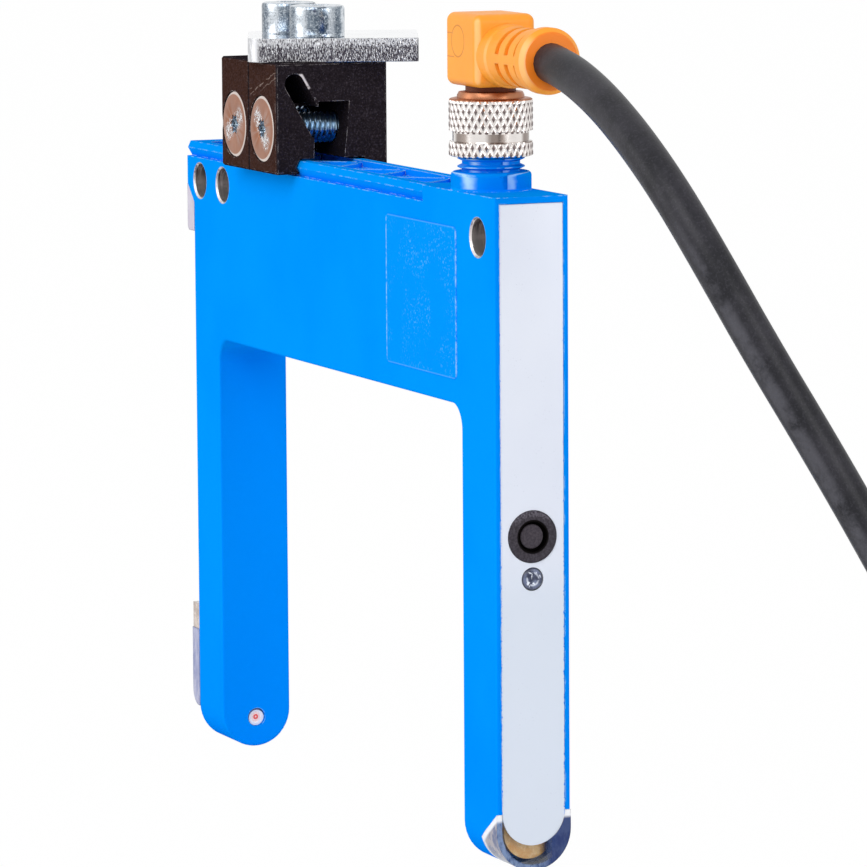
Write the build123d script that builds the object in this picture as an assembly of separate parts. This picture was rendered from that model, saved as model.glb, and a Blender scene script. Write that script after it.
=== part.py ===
from build123d import *
import math
import os

os.makedirs("parts", exist_ok=True)

# Fork light barrier with rail clamps and an angled cordset, in millimetres.
# The origin is midway between the two outer fixing holes, at mid thickness.
# +X runs from the left arm to the right arm, +Y to the back, +Z up.

# Housing
body_thickness = 9.6
body_height = 80.0
hole_drop = 5.0
second_hole_pitch = 8.2
hole_diameter = 4.4
hole_chamfer = 0.2
fork_width = 80.0
hole_span_past_fork = 11.3
hole_span = fork_width + hole_span_past_fork
fork_depth = 54.6
fork_offset = 0.55
fork_corner_radius = 3.0
left_arm_width = 8.65
right_arm_width = 9.85
edge_radius = 0.4

# Ear at the left end of the head, with a sloped underside
ear_reach = 2.1
ear_underside_drop = 0.6

# Dovetail rail on top
rail_height = 1.95
rail_tip_drop = 0.85
rail_neck_inset = 0.7
rail_tip_inset = 0.1
rail_top_inset = 0.5
rail_right_margin = 21.1

# Ribbed pocket in the top of the rail
pocket_width = 6.0
pocket_depth = 0.9
pocket_end_margin = 3.0
pocket_rib_width = 0.8
pocket_rib_pitch = 7.0
pocket_rib_rise = 0.6
pocket_corner_radius = 1.8

# Hollow inside
side_wall = 1.5
inner_wall = 1.7
bridge_floor = 2.1
bridge_roof_drop = 10.4
channel_wall = 0.7
channel_depth = 1.5
channel_top_drop = 0.8
left_channel_top_drop = 3.6
left_strip_top_drop = 8.2
pot_floor = 1.1

# Clear tip at the bottom of the right arm
tip_cut_reach = 4.8
tip_cut_low_height = 3.6
tip_cut_high_height = 7.0
tip_shell = 0.7

# How far a cutting body reaches past the solid that it cuts
overrun = 3.0

# Covers and films
cover_thickness = 1.2
film_thickness = 0.1
film_recess = 0.1
film_bottom_height = 3.0
fit_gap = 0.05
left_pad_reach = 2.5
left_pad_side_inset = 0.1
left_low_pad_bottom = 4.4
left_low_pad_top = 14.8
left_potting_pad_top = 18.2
left_high_pad_length = 8.2
left_low_pad_corner = 2.07
left_high_pad_corner = 0.7
potting_pad_inset = 0.1
pad_root = 0.2

# Label on the broad face
label_width = 21.4
label_height = 18.1
label_right_margin = 11.0
label_top_drop = 4.3
label_corner_radius = 0.8
label_thickness = 0.1

# Optics
beam_height = 3.9
lens_radius = 1.15
lens_bore_radius = 1.2
lens_collar_radius = 2.0
lens_collar_length = 1.0
lens_recess = 0.35
diode_length = 2.5
diode_radius = 1.0

# Boards
board_thickness = 1.0
arm_board_width = 5.4
arm_board_standoff = 5.3
arm_board_bottom_height = 2.6
arm_board_top_drop = 14.0
main_board_margin = 1.2
chip_height = 1.2
chip_shares = [(0.12, 0.5), (0.3, 0.7), (0.5, 0.4), (0.66, 0.6), (0.82, 0.5)]
chip_widths = [5.0, 9.0, 6.0, 4.0, 7.0]
link_thickness = 0.3
link_width = 4.0

# Teach button and status light on the right end face
button_height = 39.9
button_radius = 1.5
button_travel = 0.4
button_play = 0.06
button_recess = 0.35
button_flange_radius = 1.85
button_flange_thickness = 0.6
bezel_radius = 3.1
bezel_bore_radius = 2.0
bezel_proud = 0.1
bezel_edge = 0.25
bezel_back = 0.8
bezel_mouth_inset = 0.2
lip_front_drop = 0.9
lip_back_drop = 1.3
button_edge = 0.2
status_drop = 5.05
status_radius = 1.35
status_edge = 0.3
switch_width = 3.6
switch_height = 3.6
switch_plunger_radius = 0.7
switch_plunger_length = 0.6
switch_plunger_gap = 0.05
switch_flange_gap = 0.25

# Plug-in connector on the head
connector_margin = 11.6
boss_height = 2.2
boss_fillet = 0.5
thread_radius = 4.0
thread_root_radius = 3.45
thread_pitch = 1.0
thread_turns = 6
neck_bore_radius = 3.0
insert_bottom_drop = 3.0
insert_top_rise = 1.4
pin_radius = 0.5
pin_circle_radius = 1.45
pin_count = 3
pin_rise = 4.8
pin_tail = 4.0
pin_tip_radius = 0.35
socket_play = 0.08
contact_wall = 0.2
contact_end = 0.6
contact_rise = 1.2
contact_lift = 0.6
carrier_lift = 0.3

# Coupling nut
nut_radius = 5.0
nut_groove_radius = 4.55
nut_lift = 1.8
nut_low_knurl = 1.8
nut_groove_width = 1.2
nut_high_knurl = 3.9
nut_collar_radius = 4.0
nut_collar_height = 0.8
nut_thread_play = 0.07
nut_web = 1.6
nut_sleeve_play = 0.06
nut_end_gap = 0.25
nut_edge = 0.2
nut_collar_edge = 0.3

# Angled plug
sleeve_radius = 3.0
sleeve_flange_radius = 3.7
sleeve_flange_thickness = 0.9
plug_gap = 0.6
plug_head_width = 7.8
plug_head_depth = 9.3
plug_head_height = 8.6
plug_head_radius = 1.0
plug_axis_rise = 3.75
plug_arm_length = 12.8
plug_arm_base_radius = 3.75
plug_arm_base_length = 1.8
plug_arm_root_radius = 3.55
plug_arm_end_radius = 3.9
plug_arm_head_radius = 3.3
plug_arm_base_edge = 0.4
plug_arm_end_length = 1.9
plug_arm_end_edge = 0.6
plug_groove_first = 5.0
plug_groove_pitch = 2.65
plug_groove_count = 3
plug_groove_width = 1.0
plug_groove_depth = 0.6
plug_groove_web = 1.1
carrier_radius = 2.75

# Rail clamps
clamp_width = 9.4
clamp_seam = 0.2
clamp_depth = 15.2
clamp_height = 14.05
clamp_lift = 0.25
clamp_pair_margin = 18.0
clamp_edge = 0.25
clamp_rail_play = 0.25
slit_radius = 1.3
slit_top_drop = 1.35
slit_inset = 1.25
slit_angle = 60.0
slit_overrun = 4.0
window_top_drop = 4.95
window_front = 2.35
window_back_top = 2.4
window_back_low = 1.7
window_back_mid = 2.2
window_corner = 0.6
window_front_drop = 4.0
jaw_screw_rise = 5.55
jaw_screw_shift = 0.3
jaw_screw_length = 14.0
jaw_head_radius = 4.2
jaw_head_height = 2.3
jaw_head_rim = 0.25
screw_radius = 2.0
screw_hole_radius = 2.25
thread_fit = 0.05
lobe_radius = 0.38
lobe_circle_radius = 0.94
lobe_core_radius = 0.98
lobe_count = 6
lobe_depth = 1.2

# Mounting plate and its screws
plate_thickness = 3.0
plate_angle = 22.0
plate_front_reach = 8.8
plate_back_reach = 12.8
plate_near_reach = 4.5
plate_far_reach = 14.0
plate_corner_radius = 2.5
plate_back_corner_radius = 0.4
plate_screw_hole_radius = 2.25
cap_head_radius = 3.5
cap_head_height = 4.0
cap_head_chamfer = 0.35
cap_socket_flats = 3.0
cap_socket_depth = 2.2
cap_screw_length = 7.6

# Cordset
cable_radius = 2.3
hank_run = 71.0
hank_fold_radius = 13.8
hank_turns_wide = 2
hank_turns_high = 4
hank_edge_radius = 1.8
hank_near_fold = (152.4, 12.0)
stub_start = 16.0
stub_length = 12.0
stub_sink = 0.05
tie_place = 61.0
tie_width = 4.0
tie_thickness = 0.8
tie_play = 0.15
lead_radius = 0.65
lead_length = 22.0
lead_bare_length = 6.0
lead_bare_radius = 0.45
lead_spacing = 1.5
lead_fan_angle = 7.0

# Levels and places that follow from the sizes above
half_thickness = body_thickness / 2
top = hole_drop
bottom = top - body_height
fork_left = fork_offset - fork_width / 2
fork_right = fork_offset + fork_width / 2
fork_top = bottom + fork_depth
left_end = fork_left - left_arm_width
right_end = fork_right + right_arm_width
ear_end = left_end - ear_reach
left_hole = -hole_span / 2
second_hole = left_hole + second_hole_pitch
right_hole = hole_span / 2
shoulder = top - rail_height
rail_end = right_end - rail_right_margin
channel_half = half_thickness - channel_wall
cavity_half = half_thickness - side_wall
bridge_roof = top - bridge_roof_drop
connector_x = right_end - connector_margin
boss_top = top + boss_height
neck_top = boss_top + thread_turns * thread_pitch
nut_bottom = boss_top + nut_lift
nut_top = nut_bottom + nut_low_knurl + nut_groove_width + nut_high_knurl
collar_top = nut_top + nut_collar_height
plug_bottom = collar_top + plug_gap
plug_axis = plug_bottom + plug_axis_rise
plug_face = connector_x + plug_head_depth / 2
plug_end = plug_face + plug_arm_length
button_z = bottom + button_height
status_z = button_z - status_drop
film_face = right_end - film_recess
cover_face = film_face - film_thickness
cover_back = cover_face - cover_thickness
left_cover_face = left_end + film_thickness + film_recess
left_cover_back = left_cover_face + cover_thickness
clamp_bottom = shoulder + clamp_lift
clamp_top = clamp_bottom + clamp_height
clamp_start = left_end + clamp_pair_margin
plate_top = clamp_top + plate_thickness
jaw_screw_z = clamp_bottom + jaw_screw_rise
clamp_centres = [clamp_start + clamp_width / 2 + i * (clamp_width + clamp_seam) for i in range(2)]


def block(x0, x1, y0, y1, z0, z1):
    """A box between two corners."""
    return Pos((x0 + x1) / 2, (y0 + y1) / 2, (z0 + z1) / 2) * Box(x1 - x0, y1 - y0, z1 - z0)


def rod_x(radius, x0, x1, y, z):
    """A round bar along X."""
    return Pos((x0 + x1) / 2, y, z) * Rot(0, 90, 0) * Cylinder(radius, x1 - x0)


def rod_y(radius, x, y0, y1, z):
    """A round bar along Y."""
    return Pos(x, (y0 + y1) / 2, z) * Rot(90, 0, 0) * Cylinder(radius, y1 - y0)


def rod_z(radius, x, y, z0, z1):
    """A round bar along Z."""
    return Pos(x, y, (z0 + z1) / 2) * Cylinder(radius, z1 - z0)


def prism_x(points, x0, x1):
    """A closed outline of (y, z) points carried from x0 to x1."""
    face = make_face(Plane.YZ * Polyline(*points, close=True))
    return Pos(x0, 0, 0) * extrude(face, x1 - x0, dir=(1, 0, 0))


def prism_y(points, y0, y1):
    """A closed outline of (x, z) points carried from y0 to y1."""
    face = make_face(Plane.XZ * Polyline(*points, close=True))
    return Pos(0, y0, 0) * extrude(face, y1 - y0, dir=(0, 1, 0))


def stadium(half, low, high, x0, x1):
    """An arm's section, round at its bottom, carried from x0 to x1."""
    straight = block(x0, x1, -half, half, low + half, high)
    return straight + rod_x(half, x0, x1, 0, low + half)


def fork_gap():
    """The space between the arms, with rounded upper corners."""
    reach = half_thickness + 1
    gap = block(fork_left, fork_right, -reach, reach, bottom - 1, fork_top)
    corners = gap.edges().filter_by(Axis.Y).group_by(Axis.Z)[-1]
    return fillet(corners, fork_corner_radius)


def rail_notch(side):
    """The V groove and the sloped crest beside the rail, on one side."""
    out = half_thickness + 1
    points = [
        (side * out, shoulder),
        (side * (half_thickness - rail_neck_inset), shoulder),
        (side * (half_thickness - rail_tip_inset), top - rail_tip_drop),
        (side * (half_thickness - rail_top_inset), top),
        (side * (half_thickness - rail_top_inset), top + 1),
        (side * out, top + 1),
    ]
    return prism_x(points, ear_end - 1, rail_end)


def rail_pocket():
    """The shallow pocket in the rail's top, less its zigzag ribs."""
    x0 = ear_end + pocket_end_margin
    x1 = rail_end - pocket_end_margin / 2
    half = pocket_width / 2
    pocket = block(x0, x1, -half, half, top - pocket_depth, top + 1)
    corners = pocket.edges().filter_by(Axis.Z)
    pocket = fillet(corners, pocket_corner_radius)
    count = int((x1 - x0) / pocket_rib_pitch)
    start = (x0 + x1 - count * pocket_rib_pitch) / 2
    for i in range(count):
        lean = 1 if i % 2 == 0 else -1
        foot = start + i * pocket_rib_pitch
        head = foot + pocket_rib_pitch
        w = pocket_rib_width / 2
        rib = [
            (foot - w, -lean * (half + 1)),
            (foot + w, -lean * (half + 1)),
            (head + w, lean * (half + 1)),
            (head - w, lean * (half + 1)),
        ]
        face = make_face(Plane.XY * Polyline(*rib, close=True))
        pocket -= Pos(0, 0, top - pocket_depth - 1) * extrude(face, pocket_rib_rise + 1, dir=(0, 0, 1))
    return pocket


def tip_wedge():
    """The outer corner of the right arm's tip that the clear cover takes up."""
    inner = right_end - tip_cut_reach
    out = right_end + overrun
    points = [
        (out, bottom + tip_cut_high_height),
        (right_end, bottom + tip_cut_high_height),
        (inner, bottom + tip_cut_low_height),
        (inner, bottom - 1),
        (out, bottom - 1),
    ]
    return prism_y(points, -half_thickness - 1, half_thickness + 1)


def arm_cavity(side):
    """The hollow of one arm, open at the outer end face."""
    end = right_end if side > 0 else left_end
    inner = (fork_right if side > 0 else fork_left) + side * inner_wall
    x0, x1 = sorted((inner, end))
    return stadium(cavity_half, bottom + pot_floor, bridge_roof, x0, x1)


def end_channel(side):
    """The shallow channel in one end face that the cover strip fills."""
    if side > 0:
        return stadium(channel_half, bottom + channel_wall, top - channel_top_drop,
                       right_end - channel_depth, right_end + 1)
    mouth = stadium(channel_half, bottom + channel_wall, top - left_channel_top_drop,
                    ear_end - 1, left_end)
    return mouth + stadium(channel_half, bottom + channel_wall, top - left_strip_top_drop,
                           ear_end - 1, left_end + channel_depth)


def make_housing():
    """Painted cast fork: head, two hollow arms, rail, ear and connector neck."""
    outer = stadium(half_thickness, bottom, top, left_end, right_end)
    gap = fork_gap()
    ear = prism_y(
        [
            (left_end + 0.5, top),
            (ear_end, top),
            (ear_end, -ear_underside_drop),
            (left_end, -ear_underside_drop - ear_reach),
            (left_end + 0.5, -ear_underside_drop - ear_reach),
        ],
        -half_thickness,
        half_thickness,
    )
    body = outer + ear - gap
    upright = body.edges().filter_by(Axis.Z)
    body = fillet(upright.filter_by(lambda e: e.length > fork_depth / 2), edge_radius)
    body += Pos(connector_x, 0, (top + boss_top) / 2 - 0.5) * Cylinder(half_thickness, boss_height + 1)
    boss_edge = body.edges().filter_by(GeomType.CIRCLE).group_by(Axis.Z)[-1]
    body = fillet(boss_edge, boss_fillet)
    body += threaded_neck()
    body -= tip_wedge()
    for side in (-1, 1):
        body -= rail_notch(side)
        body -= arm_cavity(side)
        body -= end_channel(side)
        lens_x = fork_left if side < 0 else fork_right
        x0, x1 = sorted((lens_x - side, lens_x + side * (inner_wall + 1)))
        body -= rod_x(lens_bore_radius, x0, x1, 0, bottom + beam_height)
    body -= rail_pocket()
    body -= block(fork_left - inner_wall - 1, fork_right + inner_wall + 1, -cavity_half, cavity_half,
                  fork_top + bridge_floor, bridge_roof)
    body -= rod_z(neck_bore_radius, connector_x, 0, bridge_roof - 1, neck_top + 1)
    for x in (left_hole, second_hole, right_hole):
        body -= rod_y(hole_diameter / 2, x, -half_thickness - 1, half_thickness + 1, 0)
        rim = hole_diameter / 2 + hole_chamfer
        for side in (-1, 1):
            cone = Cone(rim + hole_chamfer, hole_diameter / 2, 2 * hole_chamfer)
            body -= Pos(x, side * half_thickness, 0) * Rot(90 * side, 0, 0) * cone
    return body


def threaded_neck():
    """The neck that the coupling nut screws on, with its ridges as rings."""
    crest = thread_pitch * 0.25
    points = [(0, boss_top - 0.5), (thread_root_radius, boss_top - 0.5)]
    for i in range(thread_turns):
        low = boss_top + i * thread_pitch
        points.append((thread_root_radius, low + crest))
        points.append((thread_radius, low + thread_pitch / 2))
        points.append((thread_radius, low + thread_pitch / 2 + crest / 2))
        points.append((thread_root_radius, low + thread_pitch - crest / 2))
    points += [(thread_root_radius, neck_top), (0, neck_top)]
    face = make_face(Plane.XZ * Polyline(*points, close=True))
    return Pos(connector_x, 0, 0) * revolve(face, Axis.Z)


def make_right_cover():
    """Clear strip on the right arm with a closed, hollow tip."""
    half = channel_half - fit_gap
    strip = stadium(half, bottom + channel_wall + fit_gap, top - channel_top_drop - fit_gap,
                    cover_back, cover_face)
    tip = stadium(half_thickness, bottom, top, right_end - tip_cut_reach, right_end) & tip_wedge()
    hollow = stadium(half_thickness - tip_shell, bottom + tip_shell, top,
                     right_end - tip_cut_reach - 1, cover_back)
    window = stadium(half, bottom + film_bottom_height, top, cover_face, right_end + 1)
    cover = strip + (tip - hollow) - window
    cover -= rod_x(bezel_radius + fit_gap, cover_back - 1, right_end + 1, 0, button_z)
    cover -= rod_x(status_radius + fit_gap, cover_back - 1, right_end + 1, 0, status_z)
    return cover


def left_pad(drop, low, high):
    """A proud pad on the left cover; drop is how far its face and sides stay inside the full size."""
    half = channel_half - fit_gap
    side = half_thickness - left_pad_side_inset - drop
    pad = block(left_end - left_pad_reach + drop, left_end - fit_gap, -side, side, low, high)
    return pad + block(left_end - 2 * fit_gap, left_cover_face, -half, half, low, high)


def high_left_pad(low, root_top, high):
    """The upper pad: its sides stop under the ear's slope, and its middle goes on into the ear's slot."""
    half = channel_half - fit_gap
    side = half_thickness - left_pad_side_inset
    face = left_end - left_pad_reach
    back = left_end - fit_gap
    under = -ear_underside_drop - 2 * fit_gap
    outline = [(face, low), (face, under), (ear_end, under), (back, under - ear_reach + fit_gap), (back, low)]
    pad = rounded_low(prism_y(outline, -side, side), left_high_pad_corner)
    pad += block(face, back, -half, half, under - 1, high)
    return pad + block(back - fit_gap, left_cover_face, -half, half, low, root_top)


def rounded_low(pad, radius):
    """A pad with its lower outer edge rounded."""
    edge = pad.edges().filter_by(Axis.Y).group_by(Axis.Z)[0].sort_by(Axis.X)[0]
    return fillet(edge, radius)


def make_left_cover():
    """Clear strip on the left arm with a proud pad at each end."""
    half = channel_half - fit_gap
    strip_top = top - left_strip_top_drop - fit_gap
    pad_top = top - left_channel_top_drop - fit_gap
    strip = stadium(half, bottom + channel_wall + fit_gap, strip_top, left_cover_face, left_cover_back)
    low = bottom + left_low_pad_bottom
    low_pad = rounded_low(left_pad(0, low, bottom + left_low_pad_top), left_low_pad_corner)
    pad_low = pad_top - left_high_pad_length
    high_pad = high_left_pad(pad_low, strip_top, pad_top)
    start = left_cover_face - fit_gap
    end = left_cover_face + pad_root
    roots = block(start, end, -half, half, low, bottom + left_low_pad_top)
    roots += block(start, end, -half, half, pad_low, strip_top)
    return strip + low_pad + high_pad + roots


def make_right_film():
    """White film on the right cover, with holes for the button and the light."""
    half = channel_half - fit_gap
    film = stadium(half, bottom + film_bottom_height, top - channel_top_drop - fit_gap,
                   cover_face, film_face)
    film -= rod_x(bezel_radius + fit_gap, cover_face - 1, film_face + 1, 0, button_z)
    film -= rod_x(status_radius + fit_gap, cover_face - 1, film_face + 1, 0, status_z)
    return film


def make_left_film():
    """White film between the two pads of the left cover."""
    half = channel_half - fit_gap
    film_top = top - left_channel_top_drop - left_high_pad_length - 2 * fit_gap
    return block(left_cover_face - film_thickness, left_cover_face, -half, half,
                 bottom + left_potting_pad_top + fit_gap, film_top)


def make_potting(side):
    """Casting resin in the bottom of one arm and in its clear tip."""
    back = cover_back if side > 0 else left_cover_back
    inner = (fork_right if side > 0 else fork_left) + side * inner_wall
    level = bottom + left_low_pad_top
    x0, x1 = sorted((inner + side * fit_gap, back - side * fit_gap))
    half = cavity_half - fit_gap
    resin = stadium(half, bottom + pot_floor + fit_gap, level, x0, x1)
    for piece in (make_arm_board(side), make_diode(side), make_lens(side)):
        resin -= piece
    return resin


def make_potting_pad():
    """Resin that stands proud above the left cover's lower pad."""
    return left_pad(potting_pad_inset, bottom + left_low_pad_top, bottom + left_potting_pad_top)


def make_lens(side):
    """Round window in an arm's inner wall, with a collar behind the wall."""
    wall = fork_left if side < 0 else fork_right
    front = wall + side * lens_recess
    back = wall + side * (inner_wall + fit_gap)
    z = bottom + beam_height
    stem_x = sorted((front, back))
    collar_x = sorted((back, back + side * lens_collar_length))
    collar = rod_x(lens_collar_radius, *collar_x, 0, z)
    return rod_x(lens_radius, *stem_x, 0, z) + collar


def arm_board_range(side):
    """The X range of the board that stands in one arm."""
    wall = fork_left if side < 0 else fork_right
    near = wall + side * arm_board_standoff
    return sorted((near, near + side * board_thickness))


def make_arm_board(side):
    """Circuit board that stands in one arm."""
    x0, x1 = arm_board_range(side)
    half = arm_board_width / 2
    return block(x0, x1, -half, half, bottom + arm_board_bottom_height, top - arm_board_top_drop)


def make_diode(side):
    """Light emitter or receiver between the board and its lens."""
    wall = fork_left if side < 0 else fork_right
    near = wall + side * (arm_board_standoff - diode_length)
    x0, x1 = sorted((near, wall + side * arm_board_standoff))
    return rod_x(diode_radius, x0, x1, 0, bottom + beam_height)


def main_board_span():
    """The main board's box: low and high X, Y and Z."""
    x0 = fork_left + main_board_margin
    x1 = fork_right - main_board_margin
    return x0, x1, fork_top + bridge_floor + main_board_margin, bridge_roof - main_board_margin


def make_main_board():
    """Circuit board along the bridge of the fork."""
    x0, x1, z0, z1 = main_board_span()
    rear = cavity_half - fit_gap
    return block(x0, x1, rear - board_thickness, rear, z0, z1)


def make_chips():
    """Packages soldered on the main board, as separate solids."""
    x0, x1, z0, z1 = main_board_span()
    face = cavity_half - fit_gap - board_thickness
    middle = (z0 + z1) / 2
    chips = []
    for (place, share), width in zip(chip_shares, chip_widths):
        x = x0 + place * (x1 - x0)
        height = share * (z1 - z0)
        chips.append(block(x - width / 2, x + width / 2, face - chip_height, face,
                           middle - height / 2, middle + height / 2))
    return Compound(children=chips)


def make_board_links():
    """Flat flexible leads from the main board to both arm boards."""
    x0, x1, z0, z1 = main_board_span()
    face = cavity_half - fit_gap
    z = (z0 + z1) / 2
    half = link_width / 2
    links = []
    for side, edge in ((-1, x0), (1, x1)):
        a0, a1 = arm_board_range(side)
        near = a1 if side < 0 else a0
        ends = sorted((edge, near))
        links.append(block(ends[0], ends[1], face - board_thickness, face - board_thickness + link_thickness,
                           z - half, z + half))
    return Compound(children=links)


def make_insert():
    """Round contact holder in the neck, with a hole for each pin."""
    radius = neck_bore_radius - fit_gap
    insert = rod_z(radius, connector_x, 0, top - insert_bottom_drop, top + insert_top_rise)
    for x, y in pin_places():
        insert -= rod_z(pin_radius, x, y, top - insert_bottom_drop - 1, top + insert_top_rise + 1)
    return insert


def pin_places():
    """The pins' centres on their circle."""
    places = []
    for i in range(pin_count):
        angle = math.radians(90 + i * 360 / pin_count)
        offset_x = pin_circle_radius * math.cos(angle)
        places.append((connector_x + offset_x, pin_circle_radius * math.sin(angle)))
    return places


def make_pins():
    """Contact pins, as separate solids with domed tips."""
    pins = []
    tip_top = top + insert_top_rise + pin_rise
    for x, y in pin_places():
        pin = rod_z(pin_radius, x, y, top - insert_bottom_drop - pin_tail, tip_top)
        rim = pin.edges().filter_by(GeomType.CIRCLE).group_by(Axis.Z)[-1]
        pins.append(fillet(rim, pin_tip_radius))
    return Compound(children=pins)


def make_bezel():
    """Fixed ring around the teach button, with a lip that traps it."""
    outer = right_end + bezel_proud
    back = cover_back - bezel_back
    ring = rod_x(bezel_radius, back, outer, 0, button_z)
    rim = ring.edges().filter_by(GeomType.CIRCLE).group_by(Axis.X)[-1]
    ring = fillet(rim, bezel_edge)
    ring -= rod_x(bezel_bore_radius, back - 1, outer - button_recess, 0, button_z)
    ring -= rod_x(bezel_bore_radius - bezel_mouth_inset, back - 1, outer + 1, 0, button_z)
    lip = rod_x(bezel_bore_radius, outer - lip_back_drop, outer - lip_front_drop, 0, button_z)
    lip -= rod_x(button_radius + button_play, back, outer, 0, button_z)
    return ring + lip


def button_front():
    """The X of the button's face at rest."""
    return right_end + bezel_proud - button_recess


def make_button():
    """Teach button: a round cap with a flange behind the bezel's lip."""
    front = button_front()
    back = switch_front() + switch_plunger_gap
    stem = rod_x(button_radius, back, front, 0, button_z)
    rim = stem.edges().filter_by(GeomType.CIRCLE).group_by(Axis.X)[-1]
    stem = fillet(rim, button_edge)
    flange_front = right_end + bezel_proud - lip_back_drop - button_play
    flange = rod_x(button_flange_radius, flange_front - button_flange_thickness, flange_front, 0, button_z)
    return stem + flange


def switch_front():
    """The X of the switch plunger's tip at rest."""
    return arm_board_range(1)[1] + switch_body_length() + switch_plunger_length


def switch_body_length():
    """The switch body reaches from the arm board to just behind the button."""
    flange_back = right_end + bezel_proud - lip_back_drop - button_play - button_flange_thickness
    switch_top = flange_back - button_travel - switch_flange_gap - switch_plunger_length
    return switch_top - arm_board_range(1)[1]


def make_switch():
    """Push switch on the right arm board, with a soft plunger that the button presses."""
    x0 = arm_board_range(1)[1]
    x1 = x0 + switch_body_length()
    body = block(x0, x1, -switch_width / 2, switch_width / 2,
                 button_z - switch_height / 2, button_z + switch_height / 2)
    return body + rod_x(switch_plunger_radius, x1, x1 + switch_plunger_length - button_travel, 0, button_z)


def make_status_light():
    """Clear light guide from the arm board to the film's surface."""
    x0 = arm_board_range(1)[1]
    guide = rod_x(status_radius, x0, right_end, 0, status_z)
    rim = guide.edges().filter_by(GeomType.CIRCLE).group_by(Axis.X)[-1]
    return fillet(rim, status_edge)


def make_label():
    """Thin clear label on the broad front face."""
    x1 = right_end - label_right_margin
    z1 = top - label_top_drop
    sheet = block(x1 - label_width, x1, -half_thickness - label_thickness, -half_thickness,
                  z1 - label_height, z1)
    return fillet(sheet.edges().filter_by(Axis.Y), label_corner_radius)


def make_nut():
    """Knurled coupling nut with a smooth groove and a collar."""
    groove_low = nut_bottom + nut_low_knurl
    groove_high = groove_low + nut_groove_width
    points = [
        (thread_radius + nut_thread_play, nut_bottom),
        (nut_radius - nut_edge, nut_bottom),
        (nut_radius, nut_bottom + nut_edge),
        (nut_radius, groove_low),
        (nut_groove_radius, groove_low),
        (nut_groove_radius, groove_high),
        (nut_radius, groove_high),
        (nut_radius, nut_top - nut_edge),
        (nut_radius - nut_edge, nut_top),
        (nut_collar_radius, nut_top),
        (nut_collar_radius - nut_collar_edge, collar_top),
        (sleeve_radius + nut_sleeve_play, collar_top),
        (sleeve_radius + nut_sleeve_play, collar_top - nut_web),
        (thread_radius + nut_thread_play, collar_top - nut_web),
    ]
    face = make_face(Plane.XZ * Polyline(*points, close=True))
    return Pos(connector_x, 0, 0) * revolve(face, Axis.Z)


def make_sleeve():
    """Plug sleeve inside the nut, with the flange that the nut pulls on."""
    flange_top = collar_top - nut_web - nut_end_gap
    sleeve = rod_z(sleeve_radius, connector_x, 0, flange_top - 0.1, plug_bottom)
    sleeve += rod_z(sleeve_flange_radius, connector_x, 0, flange_top - sleeve_flange_thickness, flange_top)
    sleeve -= rod_z(carrier_radius, connector_x, 0, flange_top - overrun, plug_bottom + overrun)
    return sleeve


def sleeve_floor():
    """The Z of the sleeve flange's lower face."""
    return collar_top - nut_web - nut_end_gap - sleeve_flange_thickness


def make_seal():
    """Flat seal ring between the sleeve's flange and the neck's rim."""
    ring = rod_z(sleeve_flange_radius, connector_x, 0, neck_top, sleeve_floor())
    return ring - rod_z(carrier_radius + socket_play, connector_x, 0, neck_top - 1, sleeve_floor() + 1)


def make_carrier():
    """Contact carrier that plugs into the neck, with a hole for each pin."""
    low = top + insert_top_rise + carrier_lift
    carrier = rod_z(carrier_radius, connector_x, 0, low, plug_bottom)
    for x, y in pin_places():
        carrier -= rod_z(pin_radius + socket_play + contact_wall, x, y, low - 1, contact_top())
    return carrier


def contact_top():
    """The Z where the spring contacts end."""
    return top + insert_top_rise + pin_rise + contact_rise


def make_contacts():
    """Spring contacts in the carrier, as separate tubes closed at the top."""
    low = top + insert_top_rise + contact_lift
    tubes = []
    for x, y in pin_places():
        tube = rod_z(pin_radius + socket_play + contact_wall, x, y, low, contact_top())
        tube -= rod_z(pin_radius + socket_play, x, y, low - 1, contact_top() - contact_end)
        tubes.append(tube)
    return Compound(children=tubes)


def make_plug():
    """Moulded right-angle plug: square head and ribbed round arm towards +X."""
    half_depth = plug_head_depth / 2
    half_width = plug_head_width / 2
    head = block(connector_x - half_depth, plug_face, -half_width, half_width,
                 plug_bottom, plug_bottom + plug_head_height)
    head = fillet(head.edges(), plug_head_radius)
    points = [
        (connector_x, plug_axis),
        (connector_x, plug_axis + plug_arm_head_radius),
        (plug_face, plug_axis + plug_arm_base_radius),
        (plug_face + plug_arm_base_length, plug_axis + plug_arm_base_radius),
        (plug_face + plug_arm_base_length + plug_arm_base_edge, plug_axis + plug_arm_root_radius),
        (plug_end - plug_arm_end_length - 0.2, plug_axis + plug_arm_root_radius),
        (plug_end - plug_arm_end_length, plug_axis + plug_arm_end_radius),
        (plug_end - plug_arm_end_edge, plug_axis + plug_arm_end_radius),
        (plug_end, plug_axis + plug_arm_end_radius - plug_arm_end_edge),
        (plug_end, plug_axis),
    ]
    profile = make_face(Plane.XZ * Polyline(*points, close=True))
    arm = revolve(profile, Axis((0, 0, plug_axis), (1, 0, 0)))
    for i in range(plug_groove_count):
        x = plug_face + plug_groove_first + i * plug_groove_pitch
        x0 = x - plug_groove_width / 2
        x1 = x + plug_groove_width / 2
        ring = rod_x(plug_arm_end_radius + 1, x0, x1, 0, plug_axis)
        ring -= rod_x(plug_arm_root_radius - plug_groove_depth, x0 - 1, x1 + 1, 0, plug_axis)
        web = plug_groove_web / 2
        ring -= block(x0 - 1, x1 + 1, -plug_arm_end_radius - overrun, plug_arm_end_radius + overrun,
                      plug_axis - web, plug_axis + web)
        arm -= ring
    return head + arm


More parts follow.
